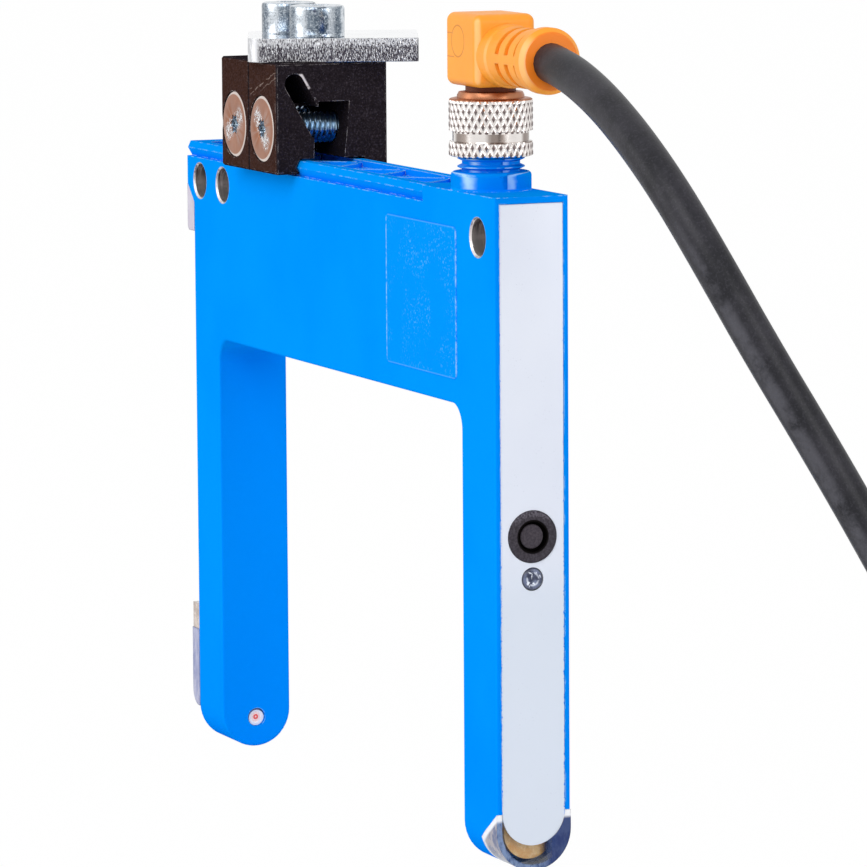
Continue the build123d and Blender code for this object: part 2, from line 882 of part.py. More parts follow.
def clamp_profile_cuts():
    """Openings of a clamp block seen along X: slit, window and dovetail mouth."""
    slit_y = -clamp_depth / 2 + slit_inset + slit_radius
    slit_z = clamp_top - slit_top_drop - slit_radius
    lean = math.radians(slit_angle)
    run = (slit_z - (clamp_top - window_top_drop) + slit_overrun) / math.sin(lean)
    end_y = slit_y + run * math.cos(lean)
    end_z = slit_z - run * math.sin(lean)
    ny = slit_radius * math.sin(lean)
    nz = slit_radius * math.cos(lean)
    slit = [
        (slit_y - ny, slit_z - nz),
        (slit_y + ny, slit_z + nz),
        (end_y + ny, end_z + nz),
        (end_y - ny, end_z - nz),
    ]
    window_top = clamp_top - window_top_drop
    seat = top + clamp_rail_play
    window = [
        (-window_front + window_corner, window_top),
        (window_back_top, window_top),
        (window_back_mid, (window_top + seat) / 2 + 1),
        (window_back_low, seat),
        (-window_front - 0.1, seat),
        (-window_front, window_top - window_front_drop),
    ]
    crest = half_thickness - rail_top_inset + clamp_rail_play / 2
    tip = half_thickness - rail_tip_inset + clamp_rail_play
    neck = half_thickness - rail_neck_inset + clamp_rail_play
    tip_z = top - rail_tip_drop
    mouth = [
        (-crest, seat),
        (-tip, tip_z),
        (-neck, clamp_bottom - clamp_rail_play / 2),
        (-neck, clamp_bottom - 1),
        (neck, clamp_bottom - 1),
        (neck, clamp_bottom - clamp_rail_play / 2),
        (tip, tip_z),
        (crest, seat),
    ]
    return slit, (slit_y, slit_z), window, mouth


def make_clamp(centre):
    """Slotted aluminium clamp block that grips the rail from both sides."""
    x0 = centre - clamp_width / 2
    x1 = centre + clamp_width / 2
    half = clamp_depth / 2
    body = block(x0, x1, -half, half, clamp_bottom, clamp_top)
    body = chamfer(body.edges(), clamp_edge)
    slit, slit_end, window, mouth = clamp_profile_cuts()
    body -= prism_x(slit, x0 - 1, x1 + 1)
    body -= rod_x(slit_radius, x0 - 1, x1 + 1, *slit_end)
    body -= prism_x(window, x0 - 1, x1 + 1)
    body -= prism_x(mouth, x0 - 1, x1 + 1)
    x = centre - jaw_screw_shift
    body -= rod_y(screw_hole_radius, x, -half - 1, 0, jaw_screw_z)
    body -= rod_y(screw_radius + thread_fit, x, 0, jaw_screw_length - half + 0.5, jaw_screw_z)
    body -= jaw_screw_head(centre, fit_gap)
    body -= rod_z(screw_radius + thread_fit, centre, 0, clamp_top - window_top_drop - 1, clamp_top + 1)
    return body


def jaw_screw_head(centre, grow):
    """The cone of a countersunk head, flush with the block's front face."""
    face = -clamp_depth / 2
    x = centre - jaw_screw_shift
    straight = jaw_head_rim
    rim = rod_y(jaw_head_radius + grow, x, face, face + straight, jaw_screw_z)
    cone = Cone(jaw_head_radius + grow, screw_radius + grow, jaw_head_height - straight)
    middle = face + straight + (jaw_head_height - straight) / 2
    return rim + Pos(x, middle, jaw_screw_z) * Rot(-90, 0, 0) * cone


def make_jaw_screws():
    """Countersunk screws with six-lobe recesses, as separate solids."""
    screws = []
    face = -clamp_depth / 2
    for centre in clamp_centres:
        x = centre - jaw_screw_shift
        screw = jaw_screw_head(centre, 0)
        screw += rod_y(screw_radius, x, face + jaw_head_height - 0.1, face + jaw_screw_length, jaw_screw_z)
        screw -= rod_y(lobe_core_radius, x, face - 1, face + lobe_depth, jaw_screw_z)
        for i in range(lobe_count):
            angle = math.radians(i * 360 / lobe_count)
            dx = lobe_circle_radius * math.cos(angle)
            dz = lobe_circle_radius * math.sin(angle)
            screw -= rod_y(lobe_radius, x + dx, face - 1, face + lobe_depth, jaw_screw_z + dz)
        screws.append(screw)
    return Compound(children=screws)


def make_plate():
    """Steel mounting plate, turned a little on the clamps, with a hole for each of its screws."""
    near = clamp_centres[1]
    turn = Rot(0, 0, -plate_angle)
    length = plate_front_reach + plate_back_reach
    width = plate_near_reach + plate_far_reach
    centre_s = (plate_back_reach - plate_front_reach) / 2
    centre_n = (plate_near_reach - plate_far_reach) / 2
    plate = Pos(centre_n, centre_s, 0) * Box(width, length, plate_thickness)
    plate = fillet(plate.edges().filter_by(Axis.Z).group_by(Axis.Y)[0], plate_corner_radius)
    plate = fillet(plate.edges().filter_by(Axis.Z).group_by(Axis.Y)[-1], plate_back_corner_radius)
    plate = Pos(near, 0, clamp_top + plate_thickness / 2) * turn * plate
    for x in clamp_centres:
        plate -= rod_z(plate_screw_hole_radius, x, 0, clamp_top - 1, plate_top + 1)
    return plate


def make_cap_screws():
    """Socket head screws that hold the plate on the clamps, as separate solids."""
    screws = []
    for x in clamp_centres:
        head = rod_z(cap_head_radius, x, 0, plate_top, plate_top + cap_head_height)
        rim = head.edges().filter_by(GeomType.CIRCLE).group_by(Axis.Z)[-1]
        head = chamfer(rim, cap_head_chamfer)
        shank = rod_z(screw_radius, x, 0, plate_top - cap_screw_length, plate_top + 0.1)
        socket = extrude(RegularPolygon(cap_socket_flats / 2, 6, major_radius=False), cap_socket_depth + 1)
        screw = head + shank - Pos(x, 0, plate_top + cap_head_height - cap_socket_depth) * socket
        screws.append(screw)
    return Compound(children=screws)


# The cable's route from the plug to the hank, chosen point by point
cable_route = [
    (52.2, 0.0, 21.4),
    (59.0, 0.0, 20.6),
    (66.0, 0.0, 18.8),
    (73.0, 0.0, 16.2),
    (80.0, 0.3, 12.5),
    (86.5, 1.3, 7.4),
    (91.6, 3.6, 0.3),
    (95.0, 7.8, -9.0),
    (98.0, 13.4, -19.6),
    (101.6, 18.8, -30.8),
    (106.8, 23.2, -42.2),
    (114.4, 26.2, -53.2),
    (124.6, 27.7, -62.8),
    (136.8, 28.1, -69.8),
    (150.0, 28.1, -72.7),
]


def turn_radii(points):
    """The arc radius at each corner of a route, from its two runs and its turn."""
    radii = []
    for before, here, after in zip(points, points[1:], points[2:]):
        inward = Vector(*here) - Vector(*before)
        outward = Vector(*after) - Vector(*here)
        turn = math.radians(inward.get_angle(outward))
        radii.append(0.45 * min(inward.length, outward.length) / math.tan(turn / 2))
    return radii


def make_cable():
    """Round cable along straight runs joined by tangent arcs."""
    radii = turn_radii(cable_route)
    path = FilletPolyline(*cable_route, radius=radii)
    section = Plane(origin=path @ 0, z_dir=path % 0) * Circle(cable_radius)
    tube = sweep(section, path=path)
    print("cable radii", [round(r, 1) for r in radii])
    print("cable length", round(path.length, 1), "volume ratio",
          round(tube.volume / (math.pi * cable_radius ** 2 * path.length), 4))
    return tube


def hank_section():
    """Inner and outer fold radius and the height of the hank's body."""
    half = hank_turns_wide * cable_radius
    height = hank_turns_high * 2 * cable_radius
    return hank_fold_radius - half, hank_fold_radius + half, height


def hank_place():
    """Where the hank's near fold stands on the floor."""
    return Pos(hank_near_fold[0], hank_near_fold[1], bottom)


def racetrack(radius, low, high):
    """A bar with a round end at each end of the hank's run."""
    ends = rod_z(radius, 0, 0, low, high) + rod_z(radius, hank_run, 0, low, high)
    return ends + block(0, hank_run, -radius, radius, low, high)


def make_hank():
    """The put-away length as one closed racetrack with the hank's outer shape."""
    inner, outer, height = hank_section()
    ring = racetrack(outer, 0, height) - racetrack(inner, -1, height + 1)
    levels = ring.edges().group_by(Axis.Z)
    ring = fillet(levels[0] + levels[-1], hank_edge_radius)
    return hank_place() * ring


def make_ties():
    """Flat ties around both runs of the hank, as separate solids."""
    inner, outer, height = hank_section()
    x0 = tie_place - tie_width / 2
    x1 = tie_place + tie_width / 2
    ties = []
    for side in (-1, 1):
        near, far = sorted((side * (inner - tie_play), side * (outer + tie_play)))
        band = block(x0, x1, near - tie_thickness, far + tie_thickness, 0, height + tie_thickness)
        band -= block(x0 - 1, x1 + 1, near, far, -1, height + fit_gap)
        ties.append(hank_place() * band)
    return Compound(children=ties)


def make_leads():
    """The cable's stripped end on top of the hank: jacket stub and three leads."""
    height = hank_section()[2]
    end = stub_start + stub_length
    stub = rod_x(cable_radius, stub_start, end, 0, 0)
    for i in (-1, 0, 1):
        lead = rod_x(lead_radius, 0, lead_length, 0, 0)
        lead += rod_x(lead_bare_radius, lead_length - 0.1, lead_length + lead_bare_length, 0, 0)
        stub += Pos(end - 0.2, i * lead_spacing, 0) * Rot(0, 0, i * lead_fan_angle) * lead
    line = hank_fold_radius + cable_radius
    return hank_place() * Pos(0, line, height + cable_radius - stub_sink) * stub


def build():
    """All named pieces."""
    return {
        "housing": make_housing(),
        "right_cover": make_right_cover(),
        "left_cover": make_left_cover(),
        "right_film": make_right_film(),
        "left_film": make_left_film(),
        "type_label": make_label(),
        "right_potting": make_potting(1),
        "left_potting": make_potting(-1),
        "potting_pad": make_potting_pad(),
        "receiver_lens": make_lens(1),
        "emitter_lens": make_lens(-1),
        "receiver_board": make_arm_board(1),
        "emitter_board": make_arm_board(-1),
        "receiver_diode": make_diode(1),
        "emitter_diode": make_diode(-1),
        "main_board": make_main_board(),
        "board_chips": make_chips(),
        "board_links": make_board_links(),
        "connector_insert": make_insert(),
        "connector_pins": make_pins(),
        "button_bezel": make_bezel(),
        "teach_button": make_button(),
        "button_switch": make_switch(),
        "status_light": make_status_light(),
        "clamp_left": make_clamp(clamp_centres[0]),
        "clamp_right": make_clamp(clamp_centres[1]),
        "clamp_screws": make_jaw_screws(),
        "mounting_plate": make_plate(),
        "plate_screws": make_cap_screws(),
        "coupling_nut": make_nut(),
        "plug_sleeve": make_sleeve(),
        "plug_seal": make_seal(),
        "plug_carrier": make_carrier(),
        "plug_contacts": make_contacts(),
        "plug_body": make_plug(),
        "cable": make_cable(),
        "cable_hank": make_hank(),
        "hank_ties": make_ties(),
        "lead_ends": make_leads(),
    }


for name, shape in build().items():
    export_step(shape, f"parts/{name}.step")
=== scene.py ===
import math

import bpy
import numpy as np
from bpy.props import FloatProperty, FloatVectorProperty, IntProperty, PointerProperty
from mathutils import Matrix, Vector


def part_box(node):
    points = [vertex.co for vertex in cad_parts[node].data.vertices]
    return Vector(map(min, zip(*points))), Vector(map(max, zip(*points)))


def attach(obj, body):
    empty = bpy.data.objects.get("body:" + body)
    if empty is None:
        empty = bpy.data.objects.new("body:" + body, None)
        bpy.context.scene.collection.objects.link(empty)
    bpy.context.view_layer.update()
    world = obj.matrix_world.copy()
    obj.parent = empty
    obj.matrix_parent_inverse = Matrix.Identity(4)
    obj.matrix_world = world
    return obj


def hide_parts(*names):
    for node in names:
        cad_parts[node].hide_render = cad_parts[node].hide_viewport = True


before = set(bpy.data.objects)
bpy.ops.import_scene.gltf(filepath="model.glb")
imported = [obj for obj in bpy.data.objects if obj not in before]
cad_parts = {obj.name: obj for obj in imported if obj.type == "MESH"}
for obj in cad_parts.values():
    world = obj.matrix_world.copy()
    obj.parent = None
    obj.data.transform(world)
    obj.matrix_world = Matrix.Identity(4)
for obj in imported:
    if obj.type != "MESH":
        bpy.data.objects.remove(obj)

bl_info = {
    "name": "Fork sensor looks",
    "version": (1, 0, 0),
    "blender": (4, 5, 0),
    "location": "3D View > Sidebar > Fork sensor",
    "description": "Finishes and fine pieces for a fork light sensor with rail clamps and a cordset",
    "category": "Object",
}

MM = 0.001
TAU = 2 * math.pi

# Directions that a face can look in; the bands of glare on round pieces lie side by side along ACROSS
RIGHT = (1.0, 0.0, 0.0)
FRONT = (0.0, -1.0, 0.0)
UP = (0.0, 0.0, 1.0)
ACROSS = (0.39, 0.92, 0.0)

# Places of the object that its finishes and new pieces need, in metres
BOTTOM = -75.0 * MM
HOLES_X = (-45.65 * MM, -37.45 * MM, 45.65 * MM)
CONNECTOR_X = 38.8 * MM
CLAMP_X = (-25.4 * MM, -15.8 * MM)
JAW_SCREW_X = (-25.7 * MM, -16.1 * MM)
JAW_SCREW_Z = 8.85 * MM
CLAMP_FRONT = -7.6 * MM
PLATE_TOP = 20.35 * MM
HEAD_TOP = 5.2 * MM
BOSS_LEFT = 32.0 * MM
LABEL_X = 28.7 * MM
LABEL_Z = -8.35 * MM
LIGHT_Z = -40.15 * MM
BUTTON_Z = -35.1 * MM
LENS_Z = -71.1 * MM
PLUG_MARK = (38.1 * MM, 22.6 * MM)

# The threads and heads of the M4 screws, and the steps around a turned piece
THREAD_RADIUS = 2.0 * MM
THREAD_DEPTH = 0.3 * MM
THREAD_PITCH = 0.7 * MM
CAP_HEIGHT = 4.0 * MM
SCREW_COLUMNS = 96
NUT_RADIUS = 5.0 * MM

# The cable's route, the same points as in the part's source, in metres
CABLE_ROUTE = [
    (0.0522, 0.0, 0.0214),
    (0.0590, 0.0, 0.0206),
    (0.0660, 0.0, 0.0188),
    (0.0730, 0.0, 0.0162),
    (0.0800, 0.0003, 0.0125),
    (0.0865, 0.0013, 0.0074),
    (0.0916, 0.0036, 0.0003),
    (0.0950, 0.0078, -0.0090),
    (0.0980, 0.0134, -0.0196),
    (0.1016, 0.0188, -0.0308),
    (0.1068, 0.0232, -0.0422),
    (0.1144, 0.0262, -0.0532),
    (0.1246, 0.0277, -0.0628),
    (0.1368, 0.0281, -0.0698),
    (0.1500, 0.0281, -0.0727),
]


def colour(red, green, blue):
    """Screen values from 0 to 255 as the light values that a shader takes."""
    share = np.array([red, green, blue]) / 255
    light = np.where(share <= 0.04045, share / 12.92, ((share + 0.055) / 1.055) ** 2.4)
    return (*[float(v) for v in light], 1.0)


# Shader maths


class Wire:
    """A shader socket that can stand in an expression; each operator adds its Math node."""

    def __init__(self, finish, socket):
        self.finish = finish
        self.socket = socket

    def maths(self, operation, *values):
        return self.finish.node("ShaderNodeMath", {"operation": operation}, dict(enumerate(values)))

    def __add__(self, other):
        return self.maths("ADD", self, other)

    def __sub__(self, other):
        return self.maths("SUBTRACT", self, other)

    def __rsub__(self, other):
        return self.maths("SUBTRACT", other, self)

    def __mul__(self, other):
        return self.maths("MULTIPLY", self, other)

    def __truediv__(self, other):
        return self.maths("DIVIDE", self, other)

    def __pow__(self, other):
        return self.maths("POWER", self, other)

    def __abs__(self):
        return self.maths("ABSOLUTE", self)

    __radd__ = __add__
    __rmul__ = __mul__

    def sine(self):
        return self.maths("SINE", self)

    def fraction(self):
        return self.maths("FRACT", self)

    def least(self, other):
        return self.maths("MINIMUM", self, other)

    def most(self, other):
        return self.maths("MAXIMUM", self, other)

    def rise(self, low, high):
        """0 up to low, 1 from high, and a smooth step between; falls where low is the larger."""
        flip = low > high
        ends = {"Value": self, "From Min": min(low, high), "From Max": max(low, high)}
        step = self.finish.node("ShaderNodeMapRange", {"interpolation_type": "SMOOTHSTEP"}, ends)
        return 1 - step if flip else step


class Finish:
    """A material in the making, with one method that adds any node."""

    def __init__(self, name):
        self.material = bpy.data.materials.new(name)
        self.material.use_nodes = True
        self.tree = self.material.node_tree
        self.shader = self.tree.nodes["Principled BSDF"]
        self.point = self.node("ShaderNodeTexCoord", {}, {}, "Object")
        split = self.node("ShaderNodeSeparateXYZ", {}, {0: self.point}, None)
        self.x, self.y, self.z = (Wire(self, split.outputs[i]) for i in range(3))

    def node(self, kind, settings, values, output=0):
        """Adds a node, sets it up, then fills its sockets with numbers or links."""
        made = self.tree.nodes.new(kind)
        for key, value in settings.items():
            setattr(made, key, value)
        for key, value in values.items():
            if isinstance(value, Wire):
                self.tree.links.new(value.socket, made.inputs[key])
            else:
                made.inputs[key].default_value = value
        return made if output is None else Wire(self, made.outputs[output])

    def mix(self, share, first, second):
        """A colour from first, where share is 0, to second, where it is 1."""
        return self.node("ShaderNodeMix", {"data_type": "RGBA"}, {0: share, 6: first, 7: second}, 2)

    def noise(self, grain, detail=3.0, roughness=0.55, stretch=(1, 1, 1)):
        """Noise with patches about grain metres wide, stretched along the axes."""
        place = self.node("ShaderNodeMapping", {}, {"Vector": self.point, "Scale": stretch})
        values = {"Vector": place, "Scale": 0.5 / grain, "Detail": detail, "Roughness": roughness}
        return self.node("ShaderNodeTexNoise", {}, values)

    def cells(self, size):
        """Distance from the nearest of the seeds that lie about size metres apart."""
        return self.node("ShaderNodeTexVoronoi", {}, {"Vector": self.point, "Scale": 1 / size})

    def off_axis(self, across, along):
        """Distance from an axis, from the two offsets square to it."""
        return (across * across + along * along) ** 0.5

    def edge(self, radius, low=0.02, high=0.25):
        """1 on sharp edges and 0 on flats: how far a rounded normal leans off the true one."""
        rounded = self.node("ShaderNodeBevel", {"samples": 4}, {"Radius": radius})
        return (1 - self.facing(rounded)).rise(low, high)

    def facing(self, direction):
        """How far the surface faces a direction: 1 straight at it, 0 sideways, -1 away."""
        true = self.node("ShaderNodeNewGeometry", {}, {}, "Normal")
        values = {0: true, 1: direction}
        return self.node("ShaderNodeVectorMath", {"operation": "DOT_PRODUCT"}, values, "Value")

    def bump(self, height, depth, strength=1.0, soft_edge=0.0):
        """Feeds the shader's normal with a height from 0 to 1 that is depth metres deep."""
        values = {"Height": height, "Distance": depth, "Strength": strength}
        if soft_edge:
            values["Normal"] = self.node("ShaderNodeBevel", {"samples": 4}, {"Radius": soft_edge})
        self.set(Normal=self.node("ShaderNodeBump", {}, values))

    def set(self, **sockets):
        """Sets or links the shader's sockets; an underscore in a name is a space."""
        for name, value in sockets.items():
            socket = self.shader.inputs[name.replace("_", " ")]
            if isinstance(value, Wire):
                self.tree.links.new(value.socket, socket)
            else:
                socket.default_value = value


# Finishes


def bare_metal(made, from_axis):
    """Bare metal in a fixing hole: turned grooves with a glint and a shadow, and a rougher bevelled rim."""
    bore_radius = 2.22 * MM
    grooves = made.noise(0.3 * MM, 3.0, 0.6, (0.15, 1, 0.15))
    wall = made.mix(grooves.rise(0.38, 0.62), colour(96, 88, 94), colour(238, 230, 228))
    glint = made.facing((0.8, 0.0, 0.6)).rise(0.25, 0.95)
    wall = made.mix(glint * 0.75, wall, colour(248, 244, 242))
    shadow = made.facing((-0.3, 0.0, -1.0)).rise(0.3, 1.0)
    wall = made.mix(shadow * 0.6, wall, colour(60, 52, 56))
    rim = made.mix(made.noise(0.3 * MM).rise(0.35, 0.6), colour(118, 108, 116), colour(206, 198, 200))
    rim = made.mix(glint, rim, colour(250, 246, 244))
    return made.mix(from_axis.rise(bore_radius + 0.04 * MM, bore_radius), rim, wall)


def boss_painted_glare(made, coat):
    """The coat on the boss and its neck: a deeper blue with upright bands of painted glare and a band of
    painted shade.
    """
    boss = made.z.rise(HEAD_TOP, HEAD_TOP + 0.2 * MM) * made.x.rise(BOSS_LEFT, BOSS_LEFT + 1 * MM)
    # Painted glare and painted shade in upright bands, set by the way the surface faces
    across = made.facing(ACROSS) + (made.noise(0.8 * MM, 2.0) - 0.5) * 0.2
    glare = abs(across + 0.56).rise(0.24, 0.0).most(abs(across - 0.5).rise(0.14, 0.0) * 0.7)
    shade = abs(across - 0.34).rise(0.1, 0.03)
    coat = made.mix(boss * 0.6, coat, colour(0, 124, 226))
    coat = made.mix(boss * shade * 0.6, coat, colour(0, 78, 176))
    return made.mix(boss * glare * 0.7, coat, colour(196, 232, 250))


def blue_paint(settings):
    """Smooth blue coat, worn lighter on edges, with painted highlights along the edges and
    painted shade on faces that look right and low down, and bare metal in the fixing holes.
    """
    made = Finish("blue_paint")
    bevel_radius = 2.4 * MM
    cloud = made.noise(9 * MM, 2.0)
    coat = made.mix(cloud.rise(0.35, 0.7), settings.paint, settings.paint_shade)
    # Painted shade: faces that look to the right are a darker blue
    coat = made.mix(made.facing(RIGHT).rise(0.7, 0.95) * 0.7, coat, colour(0, 130, 240))
    corner = made.edge(0.22 * MM, 0.03, 0.2)
    # Worn spots on the edges, partly real wear and partly painted highlights, with more in the rail's pocket
    # for the highlights on its ribs
    pocket = made.z.rise(3.8 * MM, 4.1 * MM) * abs(made.y).rise(3.5 * MM, 3.3 * MM)
    pocket = pocket * made.x.rise(28 * MM, 26 * MM)
    wear = corner * (made.noise(0.8 * MM, 4.0, 0.7) + pocket * 0.1).rise(0.47, 0.58)
    # Painted highlight: a lighter blue line along every edge
    coat = made.mix(corner * 0.3, coat, colour(40, 168, 254))
    coat = made.mix(wear * 0.75, coat, colour(190, 232, 252))
    # Painted shade: the coat darkens towards the bottom
    low_down = (made.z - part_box("housing")[0].z).rise(26 * MM, 4 * MM)
    coat = made.mix(low_down * 0.25, coat, colour(0, 128, 244))
    coat = boss_painted_glare(made, coat)
    nearest = made.off_axis(made.x - HOLES_X[0], made.z)
    for x in HOLES_X[1:]:
        nearest = nearest.least(made.off_axis(made.x - x, made.z))
    inside = nearest.rise(bevel_radius + 0.06 * MM, bevel_radius)
    made.set(
        Base_Color=made.mix(inside, coat, bare_metal(made, nearest)),
        Metallic=inside * 0.9,
        Roughness=0.34 + cloud * 0.08 - inside * 0.08,
        Specular_IOR_Level=0.0,
    )
    parting = abs(made.y).rise(0.10 * MM, 0.03 * MM) * made.z.rise(HEAD_TOP, HEAD_TOP + 0.1 * MM)
    parting = parting * made.x.rise(BOSS_LEFT + 1 * MM, BOSS_LEFT + 2 * MM)
    made.bump(made.noise(0.35 * MM, 2.0) * 0.5 + parting, 0.02 * MM, 0.35, 0.12 * MM)
    return made.material


def white_film(settings):
    """White film with a fine grain, fine specks, painted shade low down and a slightly ragged edge."""
    made = Finish("white_film")
    speck = made.cells(0.42 * MM).rise(0.16, 0.08) * made.noise(1.5 * MM).rise(0.5, 0.62)
    cloud = made.noise(7 * MM, 2.0)
    tone = made.mix(cloud, settings.film, colour(218, 224, 238))
    # Painted shade: the film darkens towards the bottom
    tone = made.mix(made.z.rise(-36 * MM, -44 * MM) * 0.75, tone, colour(210, 219, 232))
    tone = made.mix(speck * 0.35, tone, colour(165, 170, 188))
    tear = made.noise(0.17 * MM, 3.0, 0.75) * 0.9 * MM + made.z.rise(-20 * MM, -50 * MM) * 0.07 * MM
    ragged = (abs(made.y) + tear).rise(4.54 * MM, 4.6 * MM)
    made.set(
        Base_Color=made.mix(ragged, tone, colour(0, 128, 232)),
        Roughness=0.5 + speck * 0.2,
        Specular_IOR_Level=0.2,
    )
    made.bump(made.noise(0.16 * MM, 2.0), 0.012 * MM, 0.5)
    return made.material


def clear_cap():
    """Clear cap over the resin: see-through in its middle, bluish grey at the rim as a painted reflection of
    the blue housing, and darker to the back, with a painted highlight, a white line, along the cut where it
    meets the housing."""
    made = Finish("clear_cap")
    below = (BOTTOM + 4.8 * MM - made.z).most(0.0)
    rim = made.off_axis(made.y, below).rise(4.0 * MM, 4.2 * MM)
    flow = made.noise(0.5 * MM, 4.0, 0.7, (1, 1, 0.5))
    front = made.facing(FRONT).rise(0.5, 0.9)
    # Painted reflection: the rim is bluish grey for the blue housing seen in it
    tone = made.mix(flow.rise(0.38, 0.62), colour(48, 74, 124), colour(128, 150, 188))
    tone = made.mix(made.y.rise(0.2 * MM, 2.6 * MM) * 0.85, tone, colour(8, 40, 104))
    misted = made.mix(flow.rise(0.4, 0.6), colour(106, 114, 146), colour(184, 172, 168))
    tone = made.mix(front * 0.8, tone, misted)
    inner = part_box("housing")[1].x - 4.8 * MM
    # Painted highlight: a white line along the cut
    cut = (made.z - BOTTOM - 3.6 * MM) * 0.816 - (made.x - inner) * 0.578
    line = cut.rise(-0.9 * MM, -0.5 * MM).most((made.x - inner).rise(1.0 * MM, 0.5 * MM) * 0.7)
    tone = made.mix(line * flow.rise(0.28, 0.42), tone, colour(250, 251, 255))
    solid = rim.most(front).most(made.y.rise(1.3 * MM, 2.6 * MM))
    made.set(
        Base_Color=tone,
        Alpha=0.05 + solid * 0.85,
        Roughness=0.12 + flow * 0.08,
        Specular_IOR_Level=0.3,
    )
    made.bump(flow, 0.03 * MM, 0.4, 0.2 * MM)
    return made.material


def misted_pads():
    """Moulded pads of the left cover: greyish lilac, bluer low down, with a darker outer edge."""
    made = Finish("misted_pads")
    flow = made.noise(0.8 * MM, 4.0, 0.65, (1, 1, 0.4))
    tone = made.mix(made.z.rise(-30 * MM, -40 * MM), colour(190, 182, 198), colour(132, 138, 178))
    tone = made.mix(flow.rise(0.35, 0.65) * 0.5, tone, colour(214, 212, 224))
    tone = made.mix(made.edge(0.3 * MM, 0.03, 0.2) * 0.6, tone, colour(78, 76, 92))
    made.set(Base_Color=tone, Roughness=0.3 + flow * 0.1, Specular_IOR_Level=0.2)
    made.bump(flow, 0.03 * MM, 0.4, 0.2 * MM)
    return made.material


def label_film(settings):
    """Thin clear label: the paint seen through it, fine light dust, and a light line at its edge."""
    made = Finish("label_film")
    side_rim = abs(made.x - LABEL_X).rise(10.38 * MM, 10.6 * MM)
    side_rim = side_rim * made.noise(0.5 * MM, 4.0, 0.7).rise(0.38, 0.62) * 0.8
    end_rim = abs(made.z - LABEL_Z).rise(8.85 * MM, 8.97 * MM) * 0.14
    haze = made.noise(4 * MM, 2.0)
    dust = made.noise(0.2 * MM, 3.0, 0.75).rise(0.56, 0.66) * made.noise(3 * MM, 2.0).rise(0.4, 0.6)
    seen = made.mix(haze * 0.5, settings.paint, colour(6, 138, 240))
    seen = made.mix(dust * 0.35, seen, colour(120, 200, 255))
    made.set(
        Base_Color=made.mix(side_rim.most(end_rim) * 0.75, seen, colour(190, 226, 252)),
        Roughness=0.3 + haze * 0.1,
        Specular_IOR_Level=0.0,
    )
    made.bump(made.noise(1.2 * MM, 2.0), 0.01 * MM, 0.4)
    return made.material


def cast_resin(name, deep, pale):
    """Cast resin with cloudy depth, small bubbles and dips."""
    made = Finish(name)
    cloud = made.noise(0.9 * MM, 4.0, 0.7)
    bubble = made.cells(0.6 * MM).rise(0.2, 0.1)
    tone = made.mix(cloud.rise(0.35, 0.65), deep, pale)
    tone = made.mix(bubble * 0.3, tone, deep)
    made.set(Base_Color=tone, Roughness=0.22 + cloud * 0.1, Coat_Weight=0.5)
    made.bump(cloud - bubble * 0.5, 0.08 * MM, 0.5)
    return made.material


def lens_plastic():
    """Translucent window with a white rim, a red middle and a painted shadow along its upper edge."""
    made = Finish("lens_plastic")
    dz = made.z - LENS_Z
    radius = made.off_axis(made.y, dz)
    core = radius.rise(0.42 * MM, 0.3 * MM)
    ring = radius.rise(0.6 * MM, 0.76 * MM)
    tone = made.mix(ring, colour(236, 206, 206), colour(226, 228, 238))
    tone = made.mix(core, tone, colour(226, 70, 70))
    tone = made.mix(radius.rise(0.14 * MM, 0.08 * MM), tone, colour(250, 200, 196))
    # Painted shadow: a dark crescent at the upper edge, where the recess shades the window
    shade = (radius + dz * 0.16 - made.y * 0.1).rise(1.0 * MM, 1.1 * MM)
    tone = made.mix(shade, tone, colour(10, 50, 110))
    made.set(Base_Color=tone, Roughness=0.12 + made.noise(0.3 * MM) * 0.1, Coat_Weight=0.8)
    made.bump(core * 0.6 + ring, 0.06 * MM, 0.6)
    return made.material


def red_resin():
    """Clear red resin of a light source."""
    made = Finish("diode_resin")
    flow = made.noise(0.6 * MM)
    made.set(
        Base_Color=made.mix(flow, colour(190, 40, 44), colour(236, 104, 98)),
        Roughness=0.08 + flow * 0.06,
        Coat_Weight=0.6,
    )
    made.bump(flow, 0.03 * MM, 0.3)
    return made.material


def circuit_board():
    """Green solder mask over fine conductor lines."""
    made = Finish("board_green")
    track = (made.z * (TAU / (0.9 * MM)) + made.noise(3 * MM) * 9).sine().rise(0.55, 0.7)
    pads = made.cells(1.7 * MM).rise(0.22, 0.16)
    tone = made.mix(track * 0.6, colour(18, 96, 52), colour(44, 138, 78))
    tone = made.mix(pads, tone, colour(206, 176, 96))
    made.set(Base_Color=tone, Roughness=0.34 - pads * 0.08, Metallic=pads * 0.8)
    made.bump(track + pads, 0.02 * MM, 0.5)
    return made.material


def flexible_circuit():
    """Amber film with copper lines along it."""
    made = Finish("amber_flex")
    line = (made.z * (TAU / (0.7 * MM))).sine().rise(0.1, 0.3)
    made.set(
        Base_Color=made.mix(line, colour(176, 104, 30), colour(222, 152, 78)),
        Roughness=0.28 + line * 0.1,
        Metallic=line * 0.5,
    )
    made.bump(line, 0.02 * MM, 0.5)
    return made.material


def gold_contact():
    """Gold plating with fine drawn lines."""
    made = Finish("gold_contact")
    drawn = made.noise(0.12 * MM, 3.0, 0.6, (1, 1, 0.06))
    made.set(
        Base_Color=made.mix(drawn, colour(206, 160, 74), colour(250, 218, 140)),
        Roughness=0.2 + drawn * 0.12,
        Metallic=1.0,
    )
    made.bump(drawn, 0.01 * MM, 0.4)
    return made.material


def dark_moulding(name, tone, lighter, roughness=0.42, grain=0.14 * MM):
    """Dark moulded plastic with an eroded grain and softly worn edges."""
    made = Finish(name)
    texture = made.noise(grain, 3.0, 0.6)
    worn = made.edge(0.12 * MM) * made.noise(0.8 * MM).rise(0.4, 0.6)
    made.set(
        Base_Color=made.mix(worn * 0.5 + texture * 0.25, tone, lighter),
        Roughness=roughness + texture * 0.12,
        Specular_IOR_Level=0.15,
    )
    made.bump(texture, 0.025 * MM, 0.5, 0.1 * MM)
    return made.material


